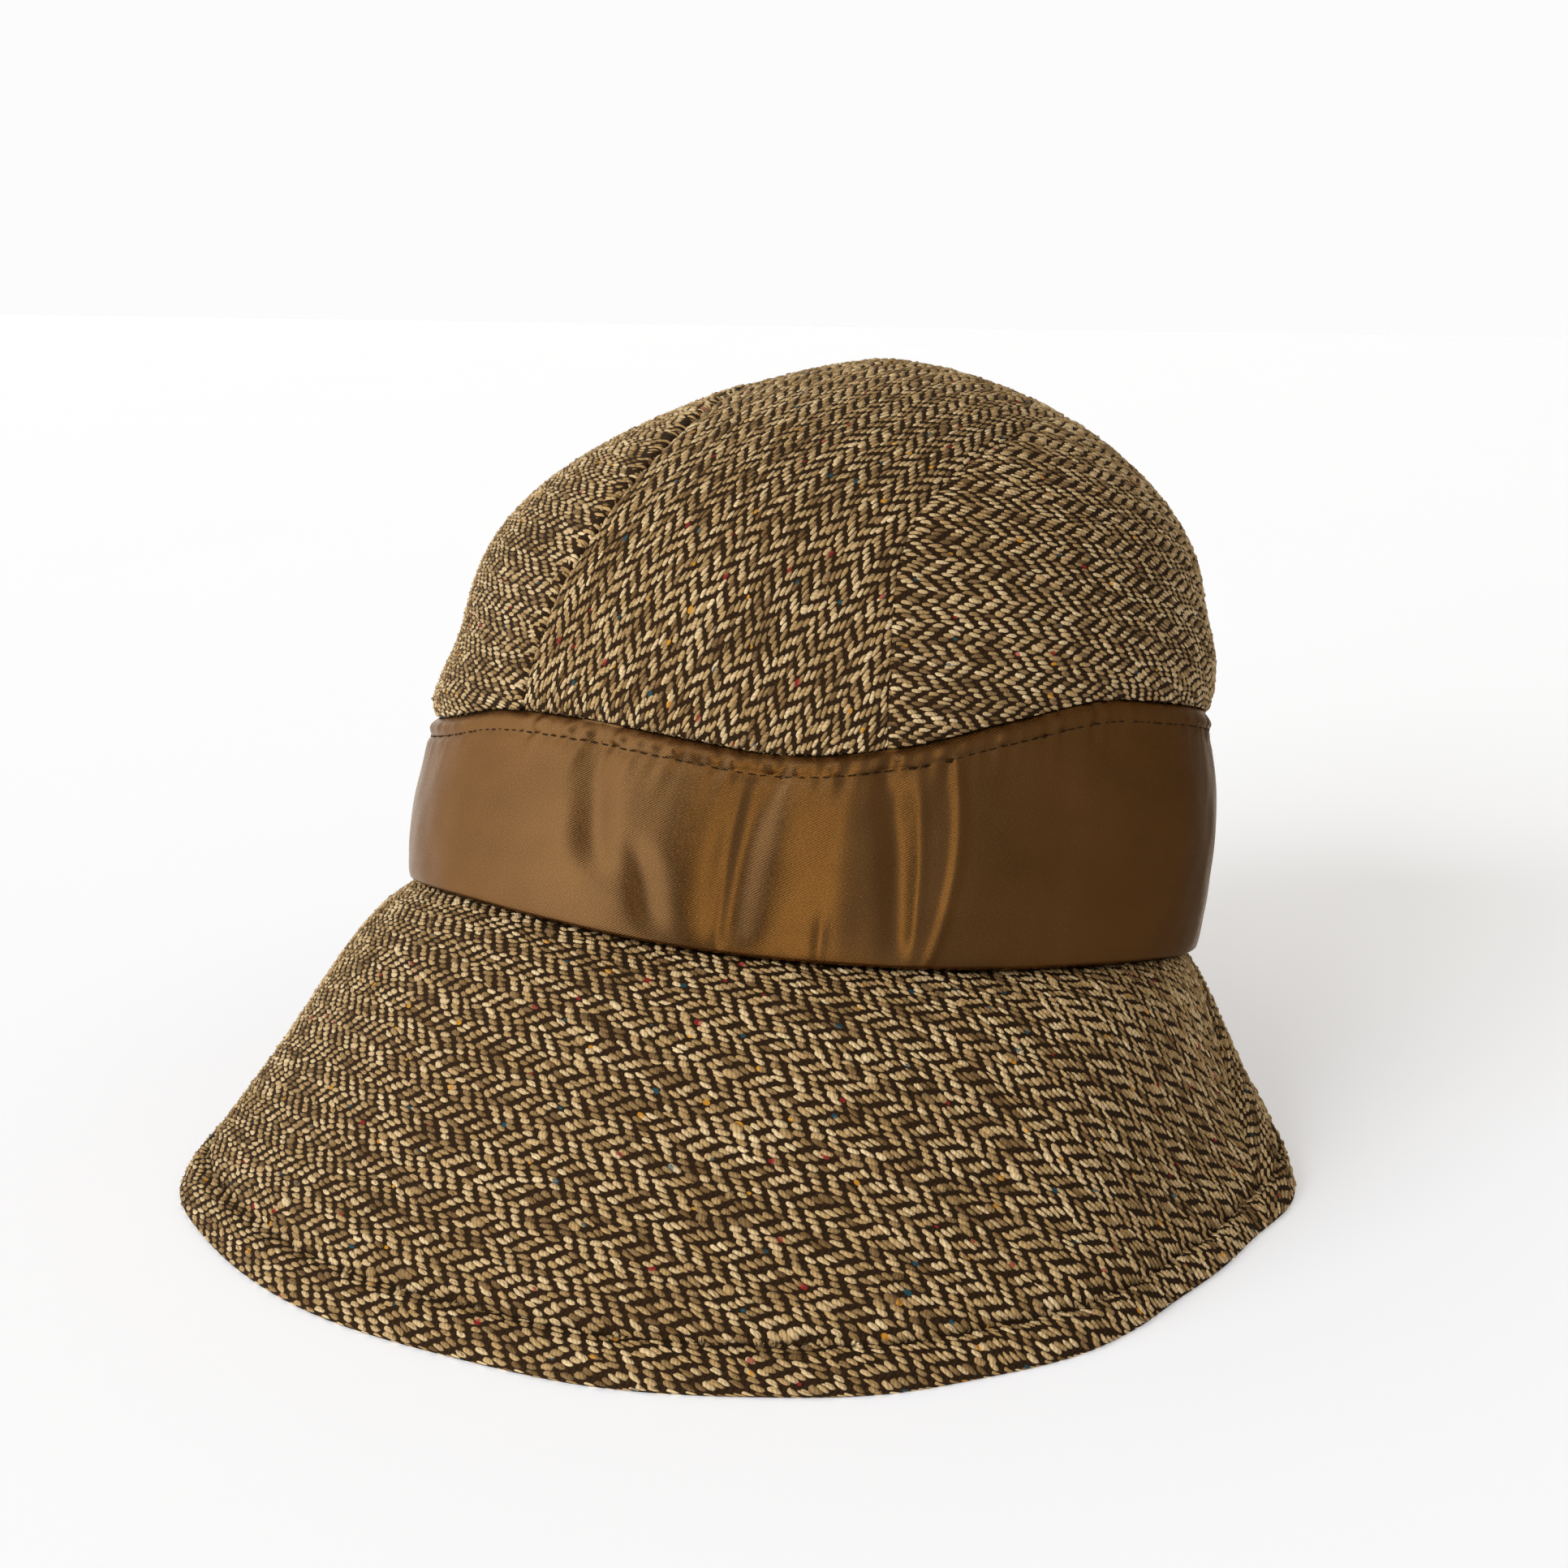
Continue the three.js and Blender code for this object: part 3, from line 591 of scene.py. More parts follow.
def relaxed(flat, points):
    """A flat layout evened out until its threads are about as long as they are on the hat."""
    for stride in RELAX_STRIDES:
        part, solid = flat[::stride, ::stride], points[::stride, ::stride].reshape(-1, 3)
        index = np.arange(len(solid)).reshape(part.shape[:2])
        first = [index[:, :-1], index[:-1], index[:-1, :-1], index[:-1, 1:]]
        second = [index[:, 1:], index[1:], index[1:, 1:], index[1:, :-1]]
        i, j = (np.concatenate([side.ravel() for side in sides]) for sides in (first, second))
        rest = np.linalg.norm(solid[j] - solid[i], axis=1)
        share_of = 1.0 / (np.bincount(i, minlength=len(solid)) + np.bincount(j, minlength=len(solid)))
        place = part.reshape(-1, 2).copy()
        for _ in range(RELAX_ROUNDS):
            apart = place[j] - place[i]
            far = np.maximum(np.linalg.norm(apart, axis=1), SMALL)
            pull = apart * ((far - rest) / far)[:, None]
            for axis in range(2):
                near, off = (np.bincount(side, pull[:, axis], len(solid)) for side in (i, j))
                place[:, axis] += (near - off) * share_of * RELAX_STEP
        change = place.reshape(part.shape) - part
        rows, columns = np.indices(flat.shape[:2]) / stride
        flat = flat + sample(change, np.stack([rows.ravel(), columns.ravel()], -1))[0].reshape(flat.shape)
    return flat


def let_out(flat, points, push, axis):
    """A flat layout made longer beside the seams by what the cloth needs to roll over into them."""
    pushed = points + wall_normal(points) * push[..., None]
    extra = lengths(pushed, axis) - lengths(points, axis)
    if axis == 1:
        extra = extra - extra[:, extra.shape[1] // 2, None]
    return flat + unit(np.gradient(flat, axis=axis)) * extra[..., None]


def laid_over(points):
    """First flat layout of a rounded panel: distances and directions from its middle, seen from the hub."""
    spokes = points - HUB
    way = unit(spokes)
    middle = unit(way.mean((0, 1)))
    back = unit(np.array([0.0, 1.0, 0.0]) - middle * middle[1])
    up = np.cross(middle, back) * np.sign(middle[0])
    near = np.clip(way @ middle, -1.0, 1.0)
    far = np.arccos(near) / np.maximum(np.sqrt(1 - near**2), SMALL)
    far = far * np.linalg.norm(spokes, axis=-1).mean()
    return np.stack([way @ back, way @ up], -1) * far[..., None]


def strip_grid():
    """Points of the centre panel on the crown's wall, their push, and the panel laid flat."""
    across = spread_ends(STRIP_GRID[1], ACROSS_PINCH)
    along = spread_ends(STRIP_GRID[0], ALONG_PINCH)[:, None]
    station = mix(strip_end(across, FRONT_STATIONS), strip_end(across, BACK_STATIONS), along)
    sideways = strip_sideways(across, station)
    points = sighted(sideways, station)
    walked = lengths(points, 0)
    push = seam_push(sideways - strip_sideways(0.0, station), walked, SEAM_SHAPES["strip_left"])
    push = push + seam_push(strip_sideways(1.0, station) - sideways, walked, SEAM_SHAPES["strip_right"])
    middle = STRIP_GRID[1] // 2
    wide = lengths(points, 1)
    flat = np.stack(np.broadcast_arrays(wide - wide[:, middle, None], walked[:, middle, None]), -1)
    return points, push, let_out(relaxed(flat, points), points, push, 1), (0, -1)


def side_grid(side):
    """The same for a side panel: side is minus 1 on the left and plus 1 on the right."""
    across = np.array([0.0 if side < 0 else 1.0])
    along = spread_ends(SIDE_GRID[1], ALONG_PINCH)
    rise = spread_ends(SIDE_GRID[0], ACROSS_PINCH)[:, None]
    station = mix(strip_end(across, FRONT_STATIONS), strip_end(across, BACK_STATIONS), along)
    top = sighted(strip_sideways(across, station) - side * CROWN_SEAM_LAP, station)
    top_angle, top_walk = angle_of(top), dome_walk(top[:, 2])
    base = mix(top_angle[0], top_angle[-1], along)
    low = dome_walk(upper_seam(base) + SEAM_GAP)
    low[[0, -1]] = top_walk[[0, -1]]
    angle, walk = mix(base, top_angle, rise), mix(low, top_walk, rise)
    points = wall_point(angle, dome_height(walk))
    walked = lengths(points, 1)
    shape = SEAM_SHAPES["side_left" if side < 0 else "side_right"]
    push = seam_push((1 - rise) * (top_walk - low), walked[-1], shape)
    return points, push, let_out(relaxed(laid_over(points), points), points, push, 0), (0,)


def band_folds(angle, height, rise):
    """Push of the satin's upright folds and faint unevenness."""
    push = np.zeros(np.broadcast(angle, height).shape)
    for bottom, middle, top, spread, tall, start, end in BAND_FOLDS.rows():
        place = bottom * (1 - rise) * (1 - 2 * rise) + 4 * middle * rise * (1 - rise)
        place = place + top * rise * (2 * rise - 1)
        seen = eased_step((rise - start) / FOLD_FADE) * eased_step((end - rise) / FOLD_FADE)
        push = push + FOLD_FULLNESS * tall * bell(turn(angle - place), spread) * seen
    for waves, up, start, tall in BAND_UNEVEN.rows():
        push = push + tall * np.sin(waves * np.radians(angle) + up * height + start)
    return push * np.sin(np.pi * np.clip(rise, 0.0, 1.0)) ** FOLD_HOLD


def band_surface(angle, height):
    """Outer face of the satin band with its folds, its row's groove and the ripples over it."""
    low, high = lower_seam(angle), upper_seam(angle)
    rise = (height - low) / (high - low)
    hang = sided(BAND_PROFILE, LOWER_ROLL_END, angle)
    hang = hang - sided(BAND_PROFILE, np.minimum(rise, LOWER_ROLL_END), angle)
    rolled = LOWER_ROLL_FULLNESS * hang * eased_step(rise / LOWER_ROLL)
    drop = high - height
    row = bpy.context.scene.hat_thread.topstitch_drop / MM
    groove = TOPSTITCH_GROOVE * bell(drop - row, TOPSTITCH_GROOVE_REACH)
    slant = ALLOWANCE_RIPPLE_SLANT * drop
    ripple = sum(np.sin(np.radians(angle * 360 / pitch) + slant) for pitch in ALLOWANCE_RIPPLE_PITCHES)
    above = np.sin(np.pi * np.clip(drop / row, 0.0, 1.0))
    below = np.where(drop > row, np.exp(-np.maximum(drop - row, 0.0) / PUCKER_FADE), 0.0)
    push = band_folds(angle, height, rise) + rolled - groove
    push = push + ALLOWANCE_PUFF * above + ALLOWANCE_RIPPLE * ripple * (above + below)
    points = wall_point(angle, height)
    inwards = unit(middle_line(points[..., 2]) - points)
    return points - inwards * push[..., None], inwards


def edge_angle(angle):
    """Angle at the edge that a line down the brim reaches from its angle at the band."""
    at = turn(angle)
    away = np.abs(at)
    front = away * SIDE_SEAM_AT_EDGE / SIDE_SEAM_AT_BAND
    back = mix(SIDE_SEAM_AT_EDGE, 180.0, (away - SIDE_SEAM_AT_BAND) / (180.0 - SIDE_SEAM_AT_BAND))
    return np.sign(at) * np.where(away <= SIDE_SEAM_AT_BAND, front, back)


def rim_point(angle):
    at = edge_angle(angle)
    radius = RIM.read("radius", at)
    x, y = radius * sine(at), -radius * cosine(at)
    return np.stack([x, y, np.full_like(x, RIM_EDGE_ROUND)], -1) - OUTLINE_CENTRE


def brim_top(angle, inset):
    """Top edge of the brim under the band's lower seam."""
    point = wall_point(angle, lower_seam(angle))
    return stand(point - unit(point * FLOOR_PLAN) * inset - UP * SEAM_GAP)


def brim_ridge(angle, along):
    """Standing bends of the brim, and how it is drawn in at its side seams."""
    from_seam = np.radians(np.abs(turn(angle)) - SIDE_SEAM_AT_BAND) * BRIM_MEAN_RADIUS
    total = -SIDE_SEAM_DEPTH * bell(from_seam, SIDE_SEAM_REACH)
    for place, spread, tall in BRIM_RIDGES.rows():
        total = total + tall * bell(turn(angle - place), spread)
    return total * np.sin(np.pi * np.clip(along, 0.0, 1.0) ** BRIM_RIDGE_TAPER)


def brim_surface(angle, along):
    """Outer face of the brim from the band's lower seam to the edge."""
    top, edge = brim_top(angle, 0.0), rim_point(angle)
    line = edge - top
    length = np.linalg.norm(line, axis=-1)
    down = unit(line)
    out = unit(UP - down * down[..., 2:])
    shoulder = BRIM_SHOULDER + BRIM_SHOULDER_SIDEWAYS * sine(angle)
    steepness = -line[..., 2] / np.hypot(line[..., 0], line[..., 1])
    bow = np.minimum(shoulder, BRIM_SHOULDER_SHARE * length * steepness)
    inset = bpy.context.scene.hat_thread.edge_row_inset / MM
    from_edge = (1 - along) * length
    row = -EDGE_ROW_DEPTH * bell(from_edge - inset, EDGE_ROW_REACH)
    puff = EDGE_PUFF * np.sin(np.pi * np.clip(from_edge / inset, 0.0, 1.0))
    rise = bow * BRIM_PROFILE.read("bow", along) + brim_ridge(angle, along) + row + puff
    return top + line * np.asarray(along)[..., None] + out * rise[..., None]


def grid_normals(points, loop=False):
    """Outward normals of a grid of points, worked out from its neighbours."""
    down = np.gradient(points, axis=0)
    if loop:
        round_it = np.roll(points, -1, 1) - np.roll(points, 1, 1)
    else:
        round_it = np.gradient(points, axis=1)
    normals = unit(np.cross(round_it, down))
    return normals if (normals * (points - stand(HUB))).sum() >= 0 else -normals


def unrolled(top, edge, along, fan):
    """A brim panel laid flat: its lines from band to edge, one beside the other."""
    line = edge - top
    length = np.linalg.norm(line, axis=-1)
    way = unit(line)
    between = unit(way[1:] + way[:-1])
    step = np.diff((top + edge) / 2, axis=0)
    down = (step * between).sum(-1)
    beside = np.sqrt(np.maximum((step**2).sum(-1) - down**2, 0.0))
    bend = np.arccos(np.clip((way[1:] * way[:-1]).sum(-1), -1.0, 1.0))
    slant = np.concatenate([[0.0], np.cumsum(bend)])
    slant = (slant - slant[len(slant) // 2]) * fan
    half = (slant[1:] + slant[:-1]) / 2
    steps = down[:, None] * np.stack([np.sin(half), -np.cos(half)], -1)
    steps = steps + beside[:, None] * np.stack([np.cos(half), np.sin(half)], -1)
    start = np.concatenate([np.zeros((1, 2)), np.cumsum(steps, 0)])
    start = start - start[len(start) // 2]
    return start + ((along - 0.5) * length)[..., None] * np.stack([np.sin(slant), -np.cos(slant)], -1)


# Meshes

def put(name, data):
    thing = bpy.data.objects.new(name, data)
    bpy.context.scene.collection.objects.link(thing)
    return thing


def make_piece(name, points, faces, maps, look, sharp=None):
    """A mesh piece from arrays: points in millimetres, faces, and a place on each map for each corner."""
    mesh = bpy.data.meshes.new(name)
    count, sides = faces.shape
    mesh.vertices.add(len(points))
    mesh.vertices.foreach_set("co", (points * MM).astype(np.float32).ravel())
    mesh.loops.add(count * sides)
    mesh.loops.foreach_set("vertex_index", faces.astype(np.int32).ravel())
    mesh.polygons.add(count)
    mesh.polygons.foreach_set("loop_start", np.arange(0, count * sides, sides, dtype=np.int32))
    mesh.update(calc_edges=True)
    for map_name, places in maps.items():
        layer = mesh.uv_layers.new(name=map_name)
        layer.uv.foreach_set("vector", places.astype(np.float32).ravel())
    mesh.shade_smooth()
    if sharp is not None:
        mesh.set_sharp_from_angle(angle=math.radians(sharp))
    mesh.validate()
    mesh.materials.append(material(look))
    piece = put(name, mesh)
    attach(piece, "root")
    return piece


def weld(piece):
    """Joins the points that meet in one place, as at the pointed ends of a side panel."""
    shape = bmesh.new()
    shape.from_mesh(piece.data)
    bmesh.ops.remove_doubles(shape, verts=shape.verts, dist=WELD_REACH)
    bmesh.ops.dissolve_degenerate(shape, edges=shape.edges, dist=SLIVER_REACH)
    shape.to_mesh(piece.data)
    shape.free()


def cloth_shell(name, outer, inner, chart, look, loop=False):
    """A closed piece of cloth from its outer and inner faces, with the chart as its map."""
    rows, columns = outer.shape[:2]
    wide = chart.shape[1]
    layer, row, column = np.meshgrid(np.arange(2), np.arange(rows), np.arange(wide), indexing="ij")
    corner = (layer * rows + row) * wide + column
    vertex = ((layer * rows + row) * columns + column % columns).ravel()
    places = np.concatenate([chart.reshape(-1, 2)] * 2)

    def quads(*corners):
        return np.stack([part.ravel() for part in corners], -1)

    out, inn = corner
    faces = [
        quads(out[:-1, :-1], out[:-1, 1:], out[1:, 1:], out[1:, :-1]),
        quads(inn[:-1, 1:], inn[:-1, :-1], inn[1:, :-1], inn[1:, 1:]),
        quads(out[0, 1:], out[0, :-1], inn[0, :-1], inn[0, 1:]),
        quads(out[-1, :-1], out[-1, 1:], inn[-1, 1:], inn[-1, :-1]),
    ]
    if not loop:
        faces.append(quads(out[1:, 0], inn[1:, 0], inn[:-1, 0], out[:-1, 0]))
        faces.append(quads(out[1:, -1], out[:-1, -1], inn[:-1, -1], inn[1:, -1]))
    faces = np.concatenate(faces)
    points = np.concatenate([outer.reshape(-1, 3), inner.reshape(-1, 3)])
    a, b, c, d = (points[vertex[faces[:, i]]] for i in range(4))
    if (a * (np.cross(b, c) + np.cross(c, d))).sum() < 0:
        faces = faces[:, ::-1]
    piece = make_piece(name, points, vertex[faces], {"weave": places[faces]}, look, SHARP_EDGE)
    weld(piece)
    return piece


def settle(piece, node):
    """Puts a piece in its solid's place, and stops if it has strayed from it."""
    low, high = (np.array(corner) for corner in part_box(node))
    points = np.array([corner[:] for corner in piece.bound_box])
    stray = max((low - points.min(0)).max(), (points.max(0) - high).max())
    if stray > STRAY_LIMIT * MM:
        raise RuntimeError(f"{piece.name} stands {stray / MM:.1f} mm out of {node}")
    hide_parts(node)


def weave_chart(flat, name):
    """Ends and picks of the tweed at each place of a panel that is laid flat in millimetres."""
    tweed = bpy.context.scene.hat_tweed
    cut, offset, stretch = CUTS[name]
    along = np.array([sine(cut), -cosine(cut)])
    across = np.array([-along[1], along[0]])
    ends = flat @ across * MM / (tweed.end_spacing * stretch) + offset
    picks = flat @ along * MM / tweed.pick_spacing
    for sideways, downwards, start, yarns in WEAVE_WANDER.rows():
        phase = flat @ np.array([sideways, downwards]) + start
        ends = ends + yarns * np.sin(phase)
        picks = picks + yarns * np.cos(PICK_WANDER_PACE * phase)
    return np.stack([ends, picks], -1)


def sample(grid, at):
    """Value of a grid at rows and columns with fractions, and its slopes along both."""
    row = np.clip(at[:, 0].astype(int), 0, grid.shape[0] - 2)
    column = np.clip(at[:, 1].astype(int), 0, grid.shape[1] - 2)
    r, c = at[:, :1] - row[:, None], at[:, 1:] - column[:, None]
    near, right = grid[row, column], grid[row, column + 1]
    under, opposite = grid[row + 1, column], grid[row + 1, column + 1]
    down = mix(under - near, opposite - right, c)
    return mix(near, right, c) + down * r, down, mix(right - near, opposite - under, r)


def solve(down, across, miss):
    """Steps in rows and columns that make up for what is missed on a chart."""
    area = down[:, 0] * across[:, 1] - down[:, 1] * across[:, 0]
    area = np.where(np.abs(area) < SMALL, SMALL, area)
    rows = (miss[..., 0] * across[:, 1] - miss[..., 1] * across[:, 0]) / area
    columns = (down[:, 0] * miss[..., 1] - down[:, 1] * miss[..., 0]) / area
    return np.stack([rows, columns], -1)


def locate(chart, places, stride=5, block=2000, rounds=14, longest=5.0, near=0.2):
    """Rows and columns where a chart reaches the places, and which places lie on it."""
    last = np.array(chart.shape[:2]) - 1
    rows, columns = (np.unique(np.append(np.arange(0, n + 1, stride), n)) for n in last)
    coarse = chart[rows][:, columns].reshape(-1, 2)
    starts = np.stack(np.meshgrid(rows, columns, indexing="ij"), -1).reshape(-1, 2)
    nearest = [
        ((places[i:i + block, None] - coarse) ** 2).sum(-1).argmin(1) for i in range(0, len(places), block)
    ]
    at = starts[np.concatenate(nearest)].astype(float)
    for _ in range(rounds):
        value, down, across = sample(chart, at)
        at = np.clip(at + np.clip(solve(down, across, places - value), -longest, longest), 0, last)
    on_it = np.linalg.norm(places - sample(chart, at)[0], axis=1) < near
    return at[on_it], on_it


# One warp float: three sections of two sides and a top. Places are shares of its half width, its half
# length and its rise, and minus 1 is sunk in the cloth.
FLOAT_SECTIONS = Table("along wide tall", [(-0.68, 0.84, 0.8), (0.0, 1.0, 1.0), (0.68, 0.84, 0.8)])


def float_shape():
    """Points and faces of one warp float, pointed at both ends."""
    places = [(0.0, -1.0, -1.0)]
    for along, wide, tall in FLOAT_SECTIONS.rows():
        places += [(-wide, along, -1.0), (0.0, along, tall), (wide, along, -1.0)]
    places.append((0.0, 1.0, -1.0))
    end = len(places) - 1
    faces = [(0, 3, 2), (0, 2, 1), (0, 1, 3)]
    faces += [(end, end - 2, end - 1), (end, end - 3, end - 2), (end, end - 1, end - 3)]
    for left in (1, 4):
        top, right = left + 1, left + 2
        for a, b in ((left, top), (top, right), (right, left)):
            faces += [(a, b, b + 3), (a, b + 3, a + 3)]
    return np.array(places), np.array(faces)


def herringbone_lift(end):
    """How many picks an end's floats are shifted: up one column and down the next, with a break between."""
    place = end % (2 * COLUMN_ENDS)
    return np.abs((place + COLUMN_ENDS) % (2 * COLUMN_ENDS) - COLUMN_ENDS) + (place >= COLUMN_ENDS)


def check_layout(name, chart):
    """Stops if too much of a panel's flat layout is folded over."""
    down, across = np.diff(chart, axis=0)[:, :-1], np.diff(chart, axis=1)[:-1]
    area = down[..., 0] * across[..., 1] - down[..., 1] * across[..., 0]
    folded = min(area[area > 0].sum(), -area[area < 0].sum()) / np.abs(area).sum()
    if folded > FOLDED_LIMIT:
        raise RuntimeError(f"{name}: {folded:.1%} of its flat layout is folded over")


def raised_yarn(name, surface, chart, seed_step):
    """The warp floats of one panel as small closed grains of yarn that follow the cloth."""
    check_layout(name, chart)
    tweed = bpy.context.scene.hat_tweed
    draw = np.random.default_rng(tweed.seed + seed_step)
    low, high = np.floor(chart.min((0, 1))), np.ceil(chart.max((0, 1)))
    cells = np.arange(low[1] // REPEAT_PICKS - 2, high[1] // REPEAT_PICKS + 1)
    end, cell = (grid.ravel() for grid in np.meshgrid(np.arange(low[0], high[0]), cells))
    places = np.stack([end + 0.5, cell * REPEAT_PICKS + herringbone_lift(end) + REPEAT_PICKS / 4], -1)
    at, on_it = locate(chart, places)
    places = places[on_it]
    count = len(places)
    uneven = tweed.yarn_unevenness
    end_number = (places[:, 0] - low[0]).astype(int)
    end_width = draw.normal(1.0, uneven / END_CALM, end_number.max() + 1)[end_number]
    width, length, rise = (
        draw.normal(1.0, uneven / calm, count).clip(least, most)
        for calm, least, most in FLOAT_SPREADS.values()
    )
    thick = np.where(draw.random(count) < tweed.slub_share, SLUB_GAIN, 1.0)
    width, rise = tweed.float_width * end_width * width * thick, rise * thick
    length = tweed.float_length * length
    drift = draw.normal(0.0, uneven / DRIFT_CALM, (count, 2)) * DRIFT_SHARES
    swing = draw.normal(0.0, uneven / SWING_CALM, count)
    shape, faces = float_shape()
    _, down, across = sample(chart, at)
    normals = grid_normals(surface)
    last = np.array(chart.shape[:2]) - 1
    spacing = np.array([tweed.end_spacing, tweed.pick_spacing]) / MM
    centre = sample(surface, at)[0]
    points, maps = [], []
    for wide, along, tall in shape:
        offset = np.stack([wide * width + swing * along, along * length], -1)
        spot_on = np.clip(at + solve(down, across, offset + drift), 0, last)
        height = np.where(tall > 0, tall * rise * tweed.yarn_rise, tall * tweed.yarn_sink) / MM
        reach = sample(surface, spot_on)[0] - centre
        longest = np.linalg.norm(offset * spacing, axis=1) * LONGEST_STRETCH + STRETCH_SLACK
        short = np.minimum(1.0, longest / np.maximum(np.linalg.norm(reach, axis=1), SMALL))
        lifted = unit(sample(normals, spot_on)[0]) * height[:, None]
        points.append(centre + reach * short[:, None] + lifted)
        maps.append(places + np.clip(offset, -FLOAT_MAP_REACH, FLOAT_MAP_REACH))
    points = np.stack(points, 1).reshape(-1, 3)
    maps = np.stack(maps, 1).reshape(-1, 2)
    faces = (np.arange(count)[:, None, None] * len(shape) + faces).reshape(-1, 3)
    bake = (maps - low) / (high - low)
    return make_piece(name, points, faces, {"weave": maps[faces], "OFBake": bake[faces]}, tweed_yarn)


def declare_cloth(outer, flat_size):
    """Works out what the cloth was cut to from its width and length in millimetres, and its flat area, and
    passes the numbers on to nothing.
    """
    across, down = np.diff(outer, axis=1), np.diff(outer, axis=0)
    area = np.linalg.norm(np.cross(across[:-1], down[:, :-1]), axis=-1).sum()
    width, length = (max(value, 1.0) * MM for value in flat_size)
    area = min(area * MM * MM, width * length)


# Finishes

class Wire:
    """One socket of a material's nodes, so that shader maths reads as plain expressions."""

    def __init__(self, tree, socket=None):
        self.tree = tree
        self.socket = socket

    def node(self, kind, settings=(), inputs=(), output=0):
        """Adds a node: its settings come first, then the values or links of its sockets."""
        made = self.tree.nodes.new(kind)
        for name, value in dict(settings).items():
            if name == "stops":
                ramp = made.color_ramp.elements
                while len(ramp) < len(value):
                    ramp.new(1.0)
                for element, (place, shade) in zip(ramp, value):
                    element.position = place
                    element.color = (*shade, 1.0)
            elif name == "interpolation":
                made.color_ramp.interpolation = value
            else:
                setattr(made, name, value)
        for key, value in dict(inputs).items():
            if isinstance(value, Wire):
                self.tree.links.new(value.socket, made.inputs[key])
            else:
                made.inputs[key].default_value = value
        return Wire(self.tree, made.outputs[output] if made.outputs else None)

    def out(self, name):
        return Wire(self.tree, self.socket.node.outputs[name])

    def math(self, operation, *values, clamp=False):
        settings = {"operation": operation, "use_clamp": clamp}
        return self.node("ShaderNodeMath", settings, dict(enumerate(values)))

    def blend(self, first, second):
        """A colour between two, by this value."""
        settings = {"data_type": "RGBA", "clamp_factor": True}
        return self.node("ShaderNodeMix", settings, {0: self, 6: first, 7: second}, 2)

    def zigzag(self):
        """Up from 0 to 1 and down again, once in every whole step of this value."""
        return self.math("PINGPONG", self, 0.5) * 2

    def __add__(self, other):
        return self.math("ADD", self, other)

    def __sub__(self, other):
        return self.math("SUBTRACT", self, other)

    def __rsub__(self, other):
        return self.math("SUBTRACT", other, self)

    def __mul__(self, other):
        return self.math("MULTIPLY", self, other)

    def __truediv__(self, other):
        return self.math("DIVIDE", self, other)

    def __pow__(self, other):
        return self.math("POWER", self, other)

    def __lt__(self, other):
        return self.math("LESS_THAN", self, other)

    __radd__ = __add__
    __rmul__ = __mul__


def rgba(shade, times=1.0):
    return (*(min(value * times, 1.0) for value in shade), 1.0)


def material(look):
    """The material of one look, made when it is first asked for."""
    name = look.__name__
    if name not in bpy.data.materials:
        made = bpy.data.materials.new(name)
        made.use_nodes = True
        made.node_tree.nodes.clear()
        look(Wire(made.node_tree))
    return bpy.data.materials[name]


def finish(base, roughness, bump, depth, **constants):
    """Ends a look with its colour, roughness and bump, and the shader's other sockets as numbers."""
    height = {"Height": bump, "Distance": depth * MM, "Strength": 1.0}
    normal = base.node("ShaderNodeBump", inputs=height)
    inputs = {"Base Color": base, "Roughness": roughness, "Normal": normal}
    inputs.update({key.replace("_", " "): value for key, value in constants.items()})
    surface = base.node("ShaderNodeBsdfPrincipled", inputs=inputs)
    base.node("ShaderNodeOutputMaterial", inputs={"Surface": surface})


def woven_place(wire):
    """A place on the cloth's own map, and its two parts."""
    place = wire.node("ShaderNodeUVMap", {"uv_map": "weave"})
    u = place.node("ShaderNodeSeparateXYZ", inputs={0: place})
    return place, u, u.out("Y")


def weave_cell(wire):
    """A place on the tweed, its parts, where it is across and along its warp float, and the float's tone."""
    place, u, v = woven_place(wire)
    end = u.math("FLOOR", u)
    # Just under a half, so that rounding can't turn a column
    rising = end.math("FRACT", end / (2 * COLUMN_ENDS)) < 0.49
    row = (v - end.math("PINGPONG", end, float(COLUMN_ENDS)) - (1 - rising)) / REPEAT_PICKS
    cell = row.math("FLOOR", row)
    across = (u - end) - 0.5
    along = (row - cell) * REPEAT_PICKS - REPEAT_PICKS / 4
    key = end.node("ShaderNodeCombineXYZ", inputs={0: end, 1: cell, 2: TONE_PLANE})
    chance = key.node("ShaderNodeTexWhiteNoise", {"noise_dimensions": "3D"}, {"Vector": key}, 1)
    return place, (u, v), (across, along), chance.node("ShaderNodeSeparateColor", inputs={0: chance})


def scaled(place, shares):
    return place.node("ShaderNodeVectorMath", {"operation": "MULTIPLY"}, {0: place, 1: (*shares, 1.0)})


def fibre_noise(place, scale, shares, detail=2.0):
    """Fine streaks along one way of the cloth."""
    inputs = {"Vector": scaled(place, shares), "Scale": scale, "Detail": detail, "Roughness": 0.6}
    return place.node("ShaderNodeTexNoise", {"noise_dimensions": "2D"}, inputs)


def warp_colour(place, tone):
    """Wool of the warp: pale to tan from float to float, drifting over the cloth."""
    tweed = bpy.context.scene.hat_tweed
    drift = fibre_noise(place, 1.0, (0.21, 0.05))
    ramp = {"stops": [(0.0, tweed.warp_tan), (0.42, tweed.warp_cream), (1.0, tweed.warp_pale)]}
    return tone.node("ShaderNodeValToRGB", ramp, {0: tone * 0.8 + drift * 0.9 - 0.41})


